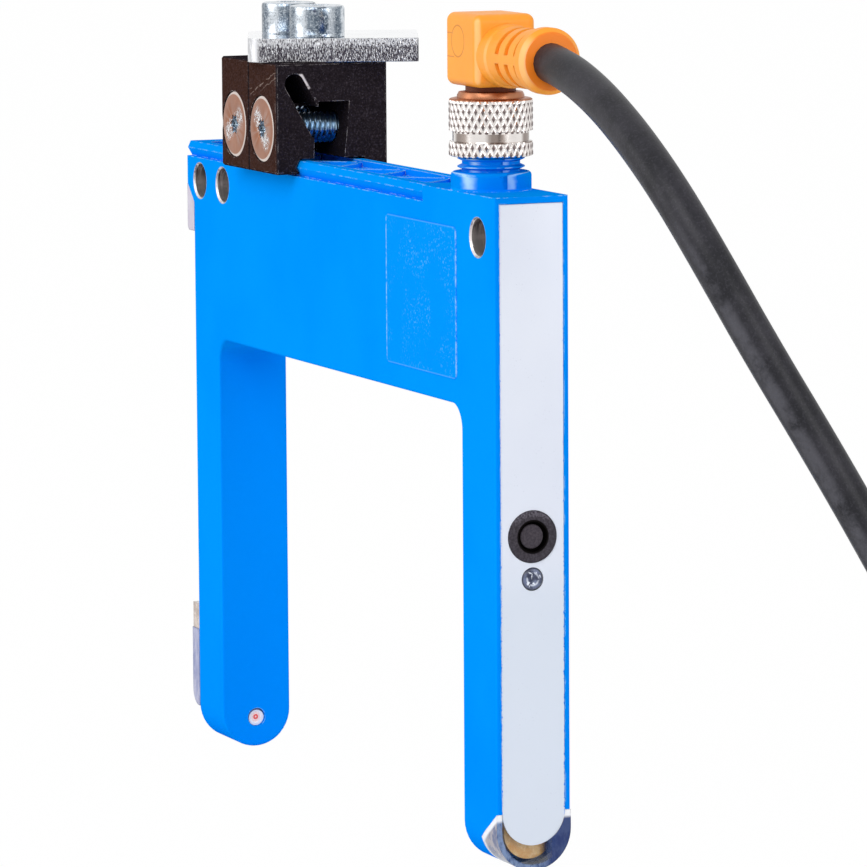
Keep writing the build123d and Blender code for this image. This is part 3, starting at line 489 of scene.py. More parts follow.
def ringed_moulding(name, tone, lighter):
    """Grainy dark moulding with a painted glint high on its outer ring, which falls to black painted shade in
    the gap around the button.
    """
    made = Finish(name)
    dz = made.z - BUTTON_Z
    out = made.off_axis(made.y, dz)
    # Painted shade: near black in the gap between button and bezel
    gap = out.rise(1.42 * MM, 1.5 * MM) * out.rise(2.1 * MM, 1.96 * MM)
    texture = made.noise(0.13 * MM, 4.0, 0.7)
    # Painted highlight: a lighter glint high on the outer ring
    glint = out.rise(2.3 * MM, 2.5 * MM) * dz.rise(1.2 * MM, 2.6 * MM) * texture.rise(0.42, 0.62)
    tone = made.mix(texture.rise(0.35, 0.75) * 0.35 + glint * 0.5, tone, lighter)
    made.set(
        Base_Color=made.mix(gap, tone, colour(3, 1, 1)),
        Roughness=0.5 + texture * 0.12,
        Specular_IOR_Level=0.05,
    )
    made.bump(texture, 0.03 * MM, 0.6, 0.1 * MM)
    return made.material


def status_lens():
    """Clear dome of the status light: dark rim, bluish depth, small painted glints and a painted bright arc.
    """
    made = Finish("status_guide")
    out = made.off_axis(made.y, made.z - LIGHT_Z)
    depth = made.noise(0.5 * MM, 3.0, 0.6)
    tone = made.mix(depth.rise(0.35, 0.65), colour(46, 52, 76), colour(112, 122, 152))
    glint = made.noise(0.2 * MM, 2.0, 0.5).rise(0.58, 0.64) * out.rise(1.15 * MM, 0.9 * MM)
    # Painted highlight: a broken bright arc inside the dome
    arc = abs(out - 0.72 * MM).rise(0.16 * MM, 0.05 * MM) * depth.rise(0.42, 0.52)
    tone = made.mix(glint.most(arc * 0.6), tone, colour(232, 238, 250))
    tone = made.mix(out.rise(1.08 * MM, 1.3 * MM) * 0.8, tone, colour(48, 52, 72))
    made.set(Base_Color=tone, Roughness=0.16 + depth * 0.1, Coat_Weight=0.2)
    made.bump(depth, 0.03 * MM, 0.4)
    return made.material


def slit_ridge(made, wear):
    """The bared edge of the slit beside the jaw screws, brightest at its upper end. The slit
    leans 30 degrees, and its edge lies at a distance square to its middle line."""
    drop = PLATE_TOP - made.z
    off_middle = (made.y + 5.05 * MM) * 0.866 + (5.65 * MM - drop) * 0.5
    reach = drop.rise(8.2 * MM, 6.8 * MM) * drop.rise(4.3 * MM, 4.5 * MM)
    bared = wear + drop.rise(6.7 * MM, 5.4 * MM) * 0.2 - 0.11
    ridge = abs(off_middle - 1.36 * MM).rise(0.32 * MM, 0.1 * MM) * reach * bared.rise(0.46, 0.56)
    return ridge * made.facing(RIGHT).rise(0.4, 0.8)


def front_scratches(made):
    """Fine wavy scratches that climb to the right on the right clamp's front."""
    strand = ((made.z - made.x * 0.35) / (0.62 * MM) + made.noise(1.1 * MM, 4.0, 0.6) * 2.2).fraction()
    zone = abs(made.z - made.x * 0.3 - 19.2 * MM).rise(0.8 * MM, 0.3 * MM)
    zone = zone * made.x.rise(-20.4 * MM, -20.1 * MM)
    return abs(strand - 0.5).rise(0.12, 0.04) * zone * made.noise(0.5 * MM, 3.0, 0.7).rise(0.42, 0.56)


def black_anodised():
    """Black anodised aluminium: milling marks, fine specks, scratches and bright worn edges, with painted
    light on the front.
    """
    made = Finish("black_anodised")
    mill = made.noise(0.16 * MM, 4.0, 0.65, (0.08, 0.08, 1))
    speck = made.cells(0.3 * MM).rise(0.16, 0.07) * made.noise(0.9 * MM).rise(0.48, 0.58)
    front = made.y.rise(-7.45 * MM, -7.58 * MM)
    right_face = made.x.rise(-11.6 * MM, -11.3 * MM)
    wear = made.noise(0.5 * MM, 5.0, 0.75) + right_face * 0.06
    worn = made.edge(0.2 * MM, 0.02, 0.2) * wear.rise(0.5, 0.62)
    # Painted light: the front face is a lighter, warmer copy of the black, the other faces the darker copy
    dark = made.mix(mill, colour(25, 21, 24), colour(40, 34, 38))
    lit_front = made.mix(mill, colour(50, 32, 26), colour(68, 45, 38))
    tone = made.mix(front, dark, lit_front)
    grain = made.noise(0.11 * MM, 3.0, 0.75)
    tone = made.mix(grain.rise(0.52, 0.68) * 0.35, tone, colour(88, 80, 88))
    tone = made.mix(grain.rise(0.48, 0.36) * 0.5, tone, colour(14, 11, 14))
    tone = made.mix(speck * 0.55, tone, colour(112, 108, 120))
    scratch = front_scratches(made) * front
    tone = made.mix(slit_ridge(made, wear).most(worn * 0.6), tone, colour(206, 198, 198))
    tone = made.mix(scratch * 0.45, tone, colour(176, 156, 146))
    made.set(
        Base_Color=tone,
        Roughness=0.42 + mill * 0.12 - worn * 0.12,
        Metallic=worn * 0.7,
        Specular_IOR_Level=0.0,
    )
    made.bump(mill + speck * 0.5 + scratch, 0.03 * MM, 0.5, 0.12 * MM)
    return made.material


def zinc_plate():
    """Zinc-plated steel sheet: mirror-like faces, and fine torn streaks on its sheared edge."""
    made = Finish("zinc_plate")
    drop = PLATE_TOP - made.z
    side = abs(made.facing(UP)).rise(0.6, 0.3) * abs(drop - 1.5 * MM).rise(1.52 * MM, 1.42 * MM)
    right_edge = made.facing((0.927, -0.375, 0.0)).rise(0.75, 0.97)
    back_corner = made.facing((0.375, 0.927, 0.0)).rise(0.05, 0.3)
    torn = side * right_edge.most(back_corner)
    streak = made.noise(0.045 * MM, 1.5, 0.6, (1, 1, 0.2))
    grit = made.noise(0.06 * MM, 2.0, 0.7, (1, 1, 0.6))
    band = drop.rise(0.5 * MM, 1.4 * MM)
    dark = (streak * 0.65 + grit * 0.35 - band * 0.07).rise(0.56, 0.41) * torn
    patch = made.noise(2.6 * MM, 3.0)
    faint = made.noise(0.3 * MM, 4.0, 0.7, (1, 1, 0.4)).rise(0.62, 0.48) * side * 0.3
    tone = made.mix(patch, colour(216, 218, 222), colour(246, 247, 249))
    tone = made.mix(dark.most(faint), tone, colour(44, 38, 50))
    made.set(
        Base_Color=tone,
        Metallic=1 - dark * 0.5,
        Roughness=0.14 + side * 0.22,
    )
    made.bump(patch * 0.1 + (streak + grit) * torn, 0.08 * MM, 0.7, 0.15 * MM)
    return made.material


def zinc_screw():
    """Bright zinc with a bluish cast, mottled and dented, with painted bands of glare, a painted light top
    and dark spots of painted reflection.
    """
    made = Finish("zinc_screw")
    patch = made.noise(0.9 * MM, 4.0, 0.65)
    dent = made.noise(0.12 * MM, 4.0, 0.75)
    # Painted highlights: bands of glare set by the way the surface faces, and a light top
    across = made.facing(ACROSS) + (patch - 0.5) * 0.35
    glare = abs(across + 0.55).rise(0.3, 0.08).most(abs(across - 0.5).rise(0.2, 0.05) * 0.7)
    glare = glare.most(abs(across - 0.95).rise(0.08, 0.03)).most(made.facing(UP).rise(0.5, 0.9))
    tone = made.mix(patch.rise(0.3, 0.7), colour(66, 82, 98), colour(134, 146, 158))
    tone = made.mix(glare * 0.7, tone, colour(232, 238, 244))
    tone = made.mix(dent.rise(0.5, 0.6) * 0.45, tone, colour(230, 236, 242))
    # Painted reflection: dark bluish spots in the band down each head's middle
    reflection_spots = made.noise(0.3 * MM, 4.0, 0.75).rise(0.44, 0.36) * abs(across - 0.05).rise(0.5, 0.2)
    tone = made.mix(reflection_spots * 0.75, tone, colour(44, 42, 78))
    tone = made.mix(dent.rise(0.44, 0.36) * 0.5, tone, colour(40, 52, 70))
    made.set(
        Base_Color=tone,
        Metallic=1.0,
        Roughness=0.14 + dent * 0.2,
    )
    made.bump(dent + patch * 0.4, 0.02 * MM, 0.5, 0.08 * MM)
    return made.material


def jaw_screw_finish():
    """Countersunk heads: a brownish painted reflection inside a bevel painted bright as a highlight,
    scratched at the recess, and a thread painted blue as a reflection of the housing.
    """
    made = Finish("jaw_screw")
    face = made.y.rise(-7.3 * MM, -7.45 * MM)
    rings, bands = [], []
    for x, across, along in zip(JAW_SCREW_X, (0.45, 0.72), (-0.89, 0.69)):
        dx = made.x - x
        dz = made.z - JAW_SCREW_Z
        out = made.off_axis(dx, dz)
        band = abs(dx * across + dz * along)
        rings.append(out)
        bands.append(band.rise(1.5 * MM, 0.6 * MM) * out.rise(3.5 * MM, 2.6 * MM) * out.rise(6 * MM, 5 * MM))
    nearest = rings[0].least(rings[1])
    # Painted highlight: a bright ring on each head's bevel
    ring = nearest.rise(3.78 * MM, 3.9 * MM)
    torn = made.noise(0.17 * MM, 5.0, 0.85)
    scar = torn.rise(0.47, 0.54) * bands[0].most(bands[1])
    # Painted reflection: a brownish sheen on the heads
    sheen = made.mix(made.noise(1.3 * MM), colour(134, 84, 60), colour(176, 122, 94))
    head = made.mix(ring * 0.7, sheen, colour(232, 226, 222))
    head = made.mix(scar, head, made.mix(torn.rise(0.5, 0.6), colour(176, 184, 190), colour(250, 251, 253)))
    depth = made.y.rise(-7.5 * MM, -6.9 * MM) * nearest.rise(1.5 * MM, 1.3 * MM)
    pit = made.mix(torn.rise(0.4, 0.6), colour(80, 98, 110), colour(222, 232, 238))
    head = made.mix(depth, head, pit)
    # Painted reflection: the thread is painted blue for the blue housing seen in it
    blue_reflected_thread = made.mix(made.noise(0.8 * MM), colour(120, 156, 190), colour(190, 214, 232))
    made.set(
        Base_Color=made.mix(face.most(depth), blue_reflected_thread, head),
        Metallic=1.0,
        Roughness=0.28 - scar * 0.14 - ring * 0.1,
    )
    made.bump((scar + made.noise(0.3 * MM) * 0.3) * face, 0.06 * MM, 0.7)
    return made.material


def nickel(settings):
    """Bright nickel plating: a dark spot of painted shade on each diamond, patches of painted reflection in
    the groove, and a collar painted brown as a reflection of the orange plug.
    """
    made = Finish("nickel_knurl")
    patch = made.noise(1.4 * MM, 3.0)
    fine = made.noise(0.25 * MM, 3.0)
    angle = made.y.maths("ARCTAN2", made.y, made.x - CONNECTOR_X)
    turn = angle * (settings.knurl_count / TAU)
    climb = made.z / settings.knurl_rise
    diamond = abs((turn + climb).fraction() - 0.5).least(abs((turn - climb).fraction() - 0.5))
    # Painted shade: a dark spot on each diamond of the knurl
    spot = diamond.rise(0.17, 0.31) * made.z.rise(15.4 * MM, 15.3 * MM)
    groove = abs(made.z - 11.2 * MM).rise(0.62 * MM, 0.56 * MM)
    # Painted reflection: dark patches around the groove
    groove_reflections = (angle * 6.0 + 3.11).sine() + made.noise(0.5 * MM, 3.0, 0.6, (1, 1, 0.2)) * 0.8
    groove_reflections = groove_reflections.rise(0.0, 1.1)
    # Painted reflection: the collar is brown for the orange plug seen in it, and rougher
    shade = made.z.rise(15.55 * MM, 15.7 * MM)
    tone = made.mix(patch, colour(214, 206, 202), colour(248, 245, 242))
    tone = made.mix(spot * (1 - groove) * 0.9, tone, colour(88, 70, 70))
    tone = made.mix(groove * groove_reflections * 0.8, tone, colour(112, 94, 84))
    tone = made.mix(shade, tone, made.mix(patch, colour(136, 80, 54), colour(200, 140, 104)))
    made.set(Base_Color=tone, Metallic=1.0, Roughness=0.14 + fine * 0.14 + shade * 0.16)
    made.bump(fine, 0.012 * MM, 0.5)
    return made.material


def orange_moulding(settings):
    """Semi-matte orange moulding with thin parting lines, a plain round mark and a painted highlight on the
    corner of front and right.
    """
    made = Finish("orange_moulding")
    cloud = made.noise(3.5 * MM, 3.0)
    grain = made.noise(0.2 * MM, 2.0)
    tone = made.mix(cloud, settings.plug, settings.plug_shade)
    deep = made.x.rise(56.05 * MM, 56.2 * MM)
    tone = made.mix(deep * 0.7, tone, colour(236, 112, 14))
    mark = made.off_axis(made.x - PLUG_MARK[0], made.z - PLUG_MARK[1])
    mark = abs(mark - 1.85 * MM).rise(0.14 * MM, 0.04 * MM)
    low = abs(made.z - 20.7 * MM).most((made.x - 36.9 * MM) * 0.4).rise(0.09 * MM, 0.03 * MM)
    high = abs(made.z - 23.5 * MM).most((made.x - 36.5 * MM) * 0.4).rise(0.09 * MM, 0.03 * MM)
    lines = mark.most(low).most(high) * made.y.rise(-3.6 * MM, -3.8 * MM)
    arm_seam = abs(made.y).rise(0.09 * MM, 0.03 * MM) * made.x.rise(44 * MM, 44.4 * MM)
    tone = made.mix(lines * 0.55, tone, colour(176, 100, 26))
    # Painted highlight: a pale band where the front meets the right face
    corner = (made.facing(RIGHT) * made.facing(FRONT) * 2.0).rise(0.5, 0.95)
    tone = made.mix(corner * 0.45, tone, colour(255, 216, 158))
    made.set(
        Base_Color=tone,
        Roughness=0.4 + grain * 0.14,
        Specular_IOR_Level=0.25,
        Subsurface_Weight=0.06,
        Subsurface_Radius=(0.003, 0.0015, 0.0006),
        Coat_Weight=0.12,
        Coat_Roughness=0.3,
    )
    made.bump(grain * 0.3 - lines + arm_seam * 0.7, 0.05 * MM, 0.6, 0.3 * MM)
    return made.material


def cable_jacket(settings):
    """Black satin jacket with a painted band of sheen, fine grain and dusty scuffs."""
    made = Finish("black_jacket")
    dust = made.noise(2.4 * MM, 5.0, 0.7)
    grain = made.noise(0.14 * MM, 2.0)
    tone = made.mix(dust.rise(0.35, 0.7), settings.jacket, colour(46, 45, 51))
    tone = made.mix(grain.rise(0.52, 0.66) * 0.12, tone, colour(92, 90, 100))
    # Painted highlight: a soft band of sheen along one side
    sheen = made.facing((0.6, -0.73, -0.34)).rise(0.86, 1.0) * dust.rise(0.3, 0.6)
    tone = made.mix(sheen * 0.3, tone, colour(118, 118, 126))
    made.set(Base_Color=tone, Roughness=0.34 + dust * 0.12, Specular_IOR_Level=0.2)
    made.bump(grain + dust * 0.4, 0.03 * MM, 0.4)
    return made.material


def lead_finish():
    """The stripped end: a black jacket, brown, blue and black cores and tinned tips."""
    made = Finish("lead_cores")
    low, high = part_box("lead_ends")
    reach = high.x - made.x
    lean = (made.y - (low.y + high.y) / 2) / MM
    core = made.mix(lean.rise(-0.9, -0.7), colour(112, 62, 34), colour(34, 74, 176))
    core = made.mix(lean.rise(0.7, 0.9), core, colour(26, 26, 28))
    tip = reach.rise(6.4 * MM, 6.0 * MM)
    body = (made.x - low.x).rise(12.2 * MM, 11.8 * MM)
    tone = made.mix(tip, core, colour(214, 206, 192))
    tone = made.mix(body, tone, colour(38, 39, 43))
    made.set(Base_Color=tone, Metallic=tip * 0.9, Roughness=0.36 + made.noise(0.3 * MM) * 0.1)
    made.bump(made.noise(0.2 * MM), 0.02 * MM, 0.4)
    return made.material


# Meshes and curves


def add_mesh(name, points, faces, material, sharp_angle=35.0):
    """A mesh object from points and faces, smooth but for its sharp edges."""
    mesh = bpy.data.meshes.new(name)
    mesh.from_pydata(points, [], faces)
    mesh.validate()
    mesh.shade_smooth()
    mesh.set_sharp_from_angle(angle=math.radians(sharp_angle))
    mesh.materials.append(material)
    obj = bpy.data.objects.new(name, mesh)
    bpy.context.scene.collection.objects.link(obj)
    return obj


def ring_grid(rows, columns, closed_rows=False):
    """The quads of a grid of rows by columns that closes on itself across its columns."""
    last = rows if closed_rows else rows - 1
    i, j = np.meshgrid(np.arange(last), np.arange(columns), indexing="ij")
    n = (i + 1) % rows
    k = (j + 1) % columns
    quads = np.stack([i * columns + j, i * columns + k, n * columns + k, n * columns + j], -1)
    return quads.reshape(-1, 4)


def turned(profile_radius, profile_height, columns):
    """A surface of revolution as arrays: x = r cos a, y = r sin a, z = h, for each
    profile row (r, h) and each of the evenly spaced angles a. r may change with a."""
    angle = np.arange(columns) * TAU / columns
    radius = np.broadcast_to(profile_radius, (len(profile_height), columns))
    height = np.broadcast_to(np.asarray(profile_height).reshape(len(profile_height), -1), radius.shape)
    return np.stack([radius * np.cos(angle), radius * np.sin(angle), height], -1)


def knurled_nut(settings):
    """The coupling nut. Its outside is r = R - depth * (1 - diamond), where diamond is the
    product of two triangle waves that climb left and right around the nut, so pyramids
    stand on it; the smooth groove, collar and bore are plain turned rows."""
    columns = settings.knurl_count * 8
    angle = np.arange(columns) * TAU / columns
    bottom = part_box("coupling_nut")[0].z

    def knurled_rows(low, high):
        """A band of diamonds between two heights above the nut's lower end, in millimetres."""
        rows = int(round((high - low) * MM / settings.knurl_rise * 16)) + 1
        z = bottom + np.linspace(low, high, rows)[:, None] * MM
        turn = angle[None, :] * settings.knurl_count / TAU
        climb = z / settings.knurl_rise
        up = 2 * np.abs((turn + climb) % 1 - 0.5)
        down = 2 * np.abs((turn - climb) % 1 - 0.5)
        radius = NUT_RADIUS - settings.knurl_depth * (1 - np.minimum(up, down) * 1.25).clip(0, 1)
        return radius, z[:, 0]

    def smooth_rows(*rows):
        """Turned rows from pairs of radius and height above the nut's lower end, in millimetres."""
        radius = np.repeat(np.array([r for r, _ in rows])[:, None] * MM, columns, 1)
        return radius, bottom + np.array([h for _, h in rows]) * MM

    parts = [
        smooth_rows((4.07, 0.0), (4.72, 0.0)),
        knurled_rows(0.12, 1.74),
        smooth_rows((4.72, 1.8), (4.55, 1.84), (4.55, 2.96), (4.72, 3.0)),
        knurled_rows(3.06, 6.74),
        smooth_rows((4.72, 6.84), (4.45, 6.9), (4.0, 6.9), (4.0, 7.2), (3.8, 7.6), (3.12, 7.7),
                    (3.06, 7.66), (3.06, 6.1), (4.07, 6.1)),
    ]
    radius = np.concatenate([r for r, _ in parts])
    height = np.concatenate([h for _, h in parts])
    points = turned(radius, height, columns).reshape(-1, 3) + (CONNECTOR_X, 0, 0)
    faces = ring_grid(len(height), columns, closed_rows=True)
    nut = add_mesh("knurled_nut", points, faces.tolist(), nickel(settings), 40)
    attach(nut, "nut")
    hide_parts("coupling_nut")
    return nut


def six_lobe(angle, core=0.98 * MM, lobe=0.38 * MM, circle=0.94 * MM):
    """A six-lobe recess's edge: the farther of a round core and the lobe circle ahead,
    r = c cos d + sqrt(l^2 - (c sin d)^2), where d is the angle to the nearest lobe's middle."""
    d = (angle + TAU / 12) % (TAU / 6) - TAU / 12
    reach = lobe ** 2 - (circle * np.sin(d)) ** 2
    far = circle * np.cos(d) + np.sqrt(np.maximum(reach, 0))
    return np.where(reach > 0, np.maximum(far, core), core)


def hexagon(angle, flats=3.0 * MM):
    """A hexagon's edge, r = flats / 2 / cos d, where d is the angle to the nearest flat's middle."""
    d = (angle + TAU / 12) % (TAU / 6) - TAU / 12
    return flats / 2 / np.cos(d)


def screw_grid(recess, recess_depth, head, start, length):
    """A whole screw about its axis, head up at height 0, as rows of radius and height:
    the recess floor and wall, the head's outline in millimetres, then from start to the tip
    a thread r = R - depth * tri(z / pitch + a / turn), with a the angle around the axis."""
    tip_length, tip_radius, point_radius = 0.3 * MM, 1.45 * MM, 0.02 * MM
    angle = np.arange(SCREW_COLUMNS) * TAU / SCREW_COLUMNS
    edge = recess(angle)
    rows = [(edge * 0.02, -recess_depth * 1.25), (edge * 0.55, -recess_depth * 1.02),
            (edge * 0.97, -recess_depth), (edge, -recess_depth * 0.96), (edge, -0.05 * MM),
            (edge + 0.08 * MM, 0.0)]
    rows += [(np.full(SCREW_COLUMNS, r * MM), h * MM) for r, h in head]
    z = np.arange(start, -length + tip_length, -THREAD_PITCH / 10)
    phase = (z[:, None] / THREAD_PITCH + angle[None, :] / TAU) % 1
    groove = np.clip(2 * np.abs(phase - 0.5) * 1.25 - 0.1, 0, 1)
    rows += list(zip(THREAD_RADIUS - THREAD_DEPTH * groove, z))
    rows += [(np.full(SCREW_COLUMNS, r), -length) for r in (tip_radius, point_radius)]
    radius = np.array([r for r, _ in rows])
    height = np.array([h for _, h in rows])
    return turned(radius, height, SCREW_COLUMNS), ring_grid(len(rows), SCREW_COLUMNS)


def merged_screws(name, grid, places, turn, material):
    """Copies of one screw's grid, turned and set at their places, as one mesh."""
    points, faces = grid
    flat = points.reshape(-1, 3) @ np.array(turn).T
    columns = points.shape[1]
    count = len(flat)
    all_points, all_faces = [], []
    for n, place in enumerate(places):
        all_points.append(flat + place)
        all_faces += (faces[:, ::-1] + n * count).tolist()
        all_faces.append([n * count + i for i in range(columns)])
        all_faces.append([n * count + count - 1 - i for i in range(columns)])
    return add_mesh(name, np.concatenate(all_points), all_faces, material)


def jaw_screws():
    """The countersunk screws of the clamps' jaws, with their heads to the front."""
    head = [(3.75, 0.0), (3.82, -0.01), (4.16, -0.12), (4.2, -0.25), (2.02, -2.3), (2.0, -2.4)]
    grid = screw_grid(six_lobe, 0.7 * MM, head, start=-2.6 * MM, length=14.0 * MM)
    places = [(x, CLAMP_FRONT, JAW_SCREW_Z) for x in JAW_SCREW_X]
    to_front = ((1, 0, 0), (0, 0, -1), (0, 1, 0))
    jaw = merged_screws("jaw_screws", grid, places, to_front, jaw_screw_finish())
    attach(jaw, "rail_clamps")
    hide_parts("clamp_screws")


def cap_screws():
    """The cap screws that hold the plate on the clamps."""
    head = [(2.6, 0.0), (3.1, -0.02), (3.36, -0.12), (3.48, -0.34), (3.5, -0.6), (3.5, -3.45),
            (3.47, -3.5), (3.5, -3.56), (3.5, -3.92), (3.42, -4.0), (2.1, -4.0), (2.0, -4.1)]
    grid = screw_grid(hexagon, 2.2 * MM, head, start=-4.3 * MM, length=11.6 * MM)
    places = [(x, 0, PLATE_TOP + CAP_HEIGHT) for x in CLAMP_X]
    upright = ((1, 0, 0), (0, 1, 0), (0, 0, 1))
    cap = merged_screws("cap_screws", grid, places, upright, zinc_screw())
    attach(cap, "rail_clamps")
    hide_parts("plate_screws")


# Settings


def colour_setting(name, description, default):
    """A colour that a user would change."""
    return FloatVectorProperty(name=name, description=description, subtype="COLOR", size=4, default=default,
                               min=0, max=1)


def length_setting(name, description, default):
    """A length that a user would change."""
    return FloatProperty(name=name, description=description, subtype="DISTANCE", unit="LENGTH",
                         default=default)


class ForkSensorSettings(bpy.types.PropertyGroup):
    """The colours and sizes that a user would change"""

    paint: colour_setting("Paint", "Blue of the housing", colour(2, 146, 248))
    paint_shade: colour_setting("Paint shade", "Deeper blue in soft patches", colour(0, 141, 244))
    film: colour_setting("Film", "White of the end strips", colour(231, 235, 245))
    plug: colour_setting("Plug", "Orange of the plug", colour(250, 164, 52))
    plug_shade: colour_setting("Plug shade", "Deeper orange in soft patches", colour(246, 152, 38))
    jacket: colour_setting("Jacket", "Black of the cable", colour(26, 26, 31))
    knurl_count: IntProperty(name="Knurl count", description="Diamonds around the nut", default=36, min=12)
    knurl_rise: length_setting("Knurl rise", "Height of one diamond", 1.7 * MM)
    knurl_depth: length_setting("Knurl depth", "Depth of the diamonds", 0.2 * MM)
    cable_diameter: length_setting("Cable diameter", "Outer diameter of the jacket", 4.6 * MM)
    hank_run: length_setting("Hank run", "Straight length of the folded cable", 71.0 * MM)
    hank_fold: length_setting("Hank fold", "Mean radius of the folds", 13.8 * MM)
    hank_loops: IntProperty(name="Hank loops", description="Loops of cable in the hank", default=8, min=1)
    hank_x: length_setting("Hank place X", "Middle of the near fold", 152.4 * MM)
    hank_y: length_setting("Hank place Y", "Middle of the near fold", 12.0 * MM)
    lens: FloatProperty(name="Lens", description="Focal length of the camera, in millimetres", default=235.78)
    camera_place: FloatVectorProperty(name="Camera place", description="Where the camera stands",
                                      subtype="TRANSLATION", unit="LENGTH", size=3,
                                      default=(0.65308, -0.27013, 0.06142))
    camera_turn: FloatVectorProperty(name="Camera turn", description="Heading, dip and roll of the camera",
                                     subtype="EULER", unit="ROTATION", size=3,
                                     default=[math.radians(v) for v in (23.138, 7.267, -0.374)])


def settings_of(context):
    return context.scene.fork_sensor


# Operators


def dress(material, *nodes):
    """Gives CAD nodes a material."""
    for name in nodes:
        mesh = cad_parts[name].data
        mesh.materials.clear()
        mesh.materials.append(material)


class DressHousing(bpy.types.Operator):
    """Paint the housing and finish its covers, films, label and resin"""

    bl_idname = "fork_sensor.dress_housing"
    bl_label = "Housing"
    bl_options = {"REGISTER", "UNDO"}

    def execute(self, context):
        settings = settings_of(context)
        dress(blue_paint(settings), "housing")
        dress(white_film(settings), "right_film", "left_film")
        dress(clear_cap(), "right_cover")
        dress(misted_pads(), "left_cover")
        dress(label_film(settings), "type_label")
        dress(cast_resin("amber_resin", colour(232, 170, 88), colour(252, 212, 146)), "right_potting")
        dress(cast_resin("grey_resin", colour(164, 146, 136), colour(204, 188, 178)),
              "left_potting", "potting_pad")
        return {"FINISHED"}


class DressControls(bpy.types.Operator):
    """Finish the teach button, its bezel and the status light"""

    bl_idname = "fork_sensor.dress_controls"
    bl_label = "Button and light"
    bl_options = {"REGISTER", "UNDO"}

    def execute(self, context):
        dress(ringed_moulding("black_button", colour(62, 57, 64), colour(112, 106, 112)), "teach_button")
        dress(ringed_moulding("black_bezel", colour(54, 50, 56), colour(112, 108, 118)), "button_bezel")
        dress(status_lens(), "status_light")
        return {"FINISHED"}


class DressOptics(bpy.types.Operator):
    """Finish the light windows, their diodes and the circuit boards"""

    bl_idname = "fork_sensor.dress_optics"
    bl_label = "Optics and boards"
    bl_options = {"REGISTER", "UNDO"}

    def execute(self, context):
        dress(lens_plastic(), "receiver_lens", "emitter_lens")
        dress(red_resin(), "receiver_diode", "emitter_diode")
        dress(circuit_board(), "receiver_board", "emitter_board", "main_board")
        dress(flexible_circuit(), "board_links")
        dress(dark_moulding("black_moulding", colour(30, 30, 33), colour(70, 70, 76)),
              "board_chips", "button_switch", "connector_insert", "plug_carrier")
        dress(dark_moulding("brown_sleeve", colour(98, 50, 32), colour(150, 90, 62)), "plug_sleeve")
        dress(dark_moulding("seal_rubber", colour(26, 26, 26), colour(52, 52, 52), 0.6), "plug_seal")
        dress(gold_contact(), "connector_pins", "plug_contacts")
        return {"FINISHED"}


class DressClamps(bpy.types.Operator):
    """Finish the rail clamps and their plate, and make their screws with real threads"""

    bl_idname = "fork_sensor.dress_clamps"
    bl_label = "Clamps, plate and screws"
    bl_options = {"REGISTER", "UNDO"}

    def execute(self, context):
        dress(black_anodised(), "clamp_left", "clamp_right")
        dress(zinc_plate(), "mounting_plate")
        jaw_screws()
        cap_screws()
        return {"FINISHED"}


class DressConnector(bpy.types.Operator):
    """Make the knurled coupling nut and finish the angled plug"""

    bl_idname = "fork_sensor.dress_connector"
    bl_label = "Nut and plug"
    bl_options = {"REGISTER", "UNDO"}

    def execute(self, context):
        settings = settings_of(context)
        knurled_nut(settings)
        dress(orange_moulding(settings), "plug_body")
        return {"FINISHED"}


def hank_points(settings):
    """Loops of cable two wide that climb layer by layer, 16 points a loop. A fold's points
    are the corners of the polygon around its arc, and each loop moves over to the next
    radius or layer on its near fold."""
    d = settings.cable_diameter
    half_step = TAU / 24
    outer, inner = settings.hank_fold + d / 2, settings.hank_fold - d / 2
    low = BOTTOM + d / 2
    loops = [((outer, inner, inner, outer)[n % 4], low + n // 2 * d) for n in range(settings.hank_loops)]
    points = []
    for n, (radius, height) in enumerate(loops):
        after = loops[min(n + 1, len(loops) - 1)]
        for fold in (1, -1):
            middle = settings.hank_x + (settings.hank_run if fold > 0 else 0.0)
            run_end = middle - fold * radius * math.tan(half_step)
            run_start = 2 * settings.hank_x + settings.hank_run - run_end
            points.append((run_start, settings.hank_y + fold * radius, height))
            points.append((run_end, settings.hank_y + fold * radius, height))
            for i in range(6):
                move = (i + 0.5) / 6 if fold < 0 else 0.0
                r = (radius + (after[0] - radius) * move) / math.cos(half_step)
                a = (2 * i + 1) * half_step
                x = middle + fold * r * math.sin(a)
                y = settings.hank_y + fold * r * math.cos(a)
                points.append((x, y, height + (after[1] - height) * move))
    last = points[-1]
    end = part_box("lead_ends")[0].x + 0.5 * MM
    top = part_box("cable_hank")[1].z + d / 2
    points.append((settings.hank_x + 2 * MM, settings.hank_y + outer, last[2]))
    points.append(((settings.hank_x + end) / 2 + 2 * MM, settings.hank_y + outer, top))
    points.append((end, settings.hank_y + outer, top))
    return points


class DressCable(bpy.types.Operator):
    """Lay the cable from the plug to its hank, and finish the hank's ties and the stripped end"""

    bl_idname = "fork_sensor.dress_cable"
    bl_label = "Cable"
    bl_options = {"REGISTER", "UNDO"}

    def execute(self, context):
        settings = settings_of(context)
        curve = bpy.data.curves.new("cable_line", "CURVE")
        curve.dimensions = "3D"
        curve.bevel_depth = settings.cable_diameter / 2
        curve.bevel_resolution = 8
        curve.resolution_u = 10
        curve.use_fill_caps = True
        spline = curve.splines.new("NURBS")
        route = CABLE_ROUTE + hank_points(settings)
        spline.points.add(len(route) - 1)
        spline.points.foreach_set("co", np.array([(*p, 1.0) for p in route]).ravel())
        spline.order_u = 3
        spline.use_endpoint_u = True
        curve.materials.append(cable_jacket(settings))
        cable = bpy.data.objects.new("sensor_cable", curve)
        bpy.context.scene.collection.objects.link(cable)
        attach(cable, "sensor")
        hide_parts("cable", "cable_hank")
        dress(dark_moulding("black_tie", colour(28, 28, 30), colour(64, 64, 68)), "hank_ties")
        dress(lead_finish(), "lead_ends")
        return {"FINISHED"}


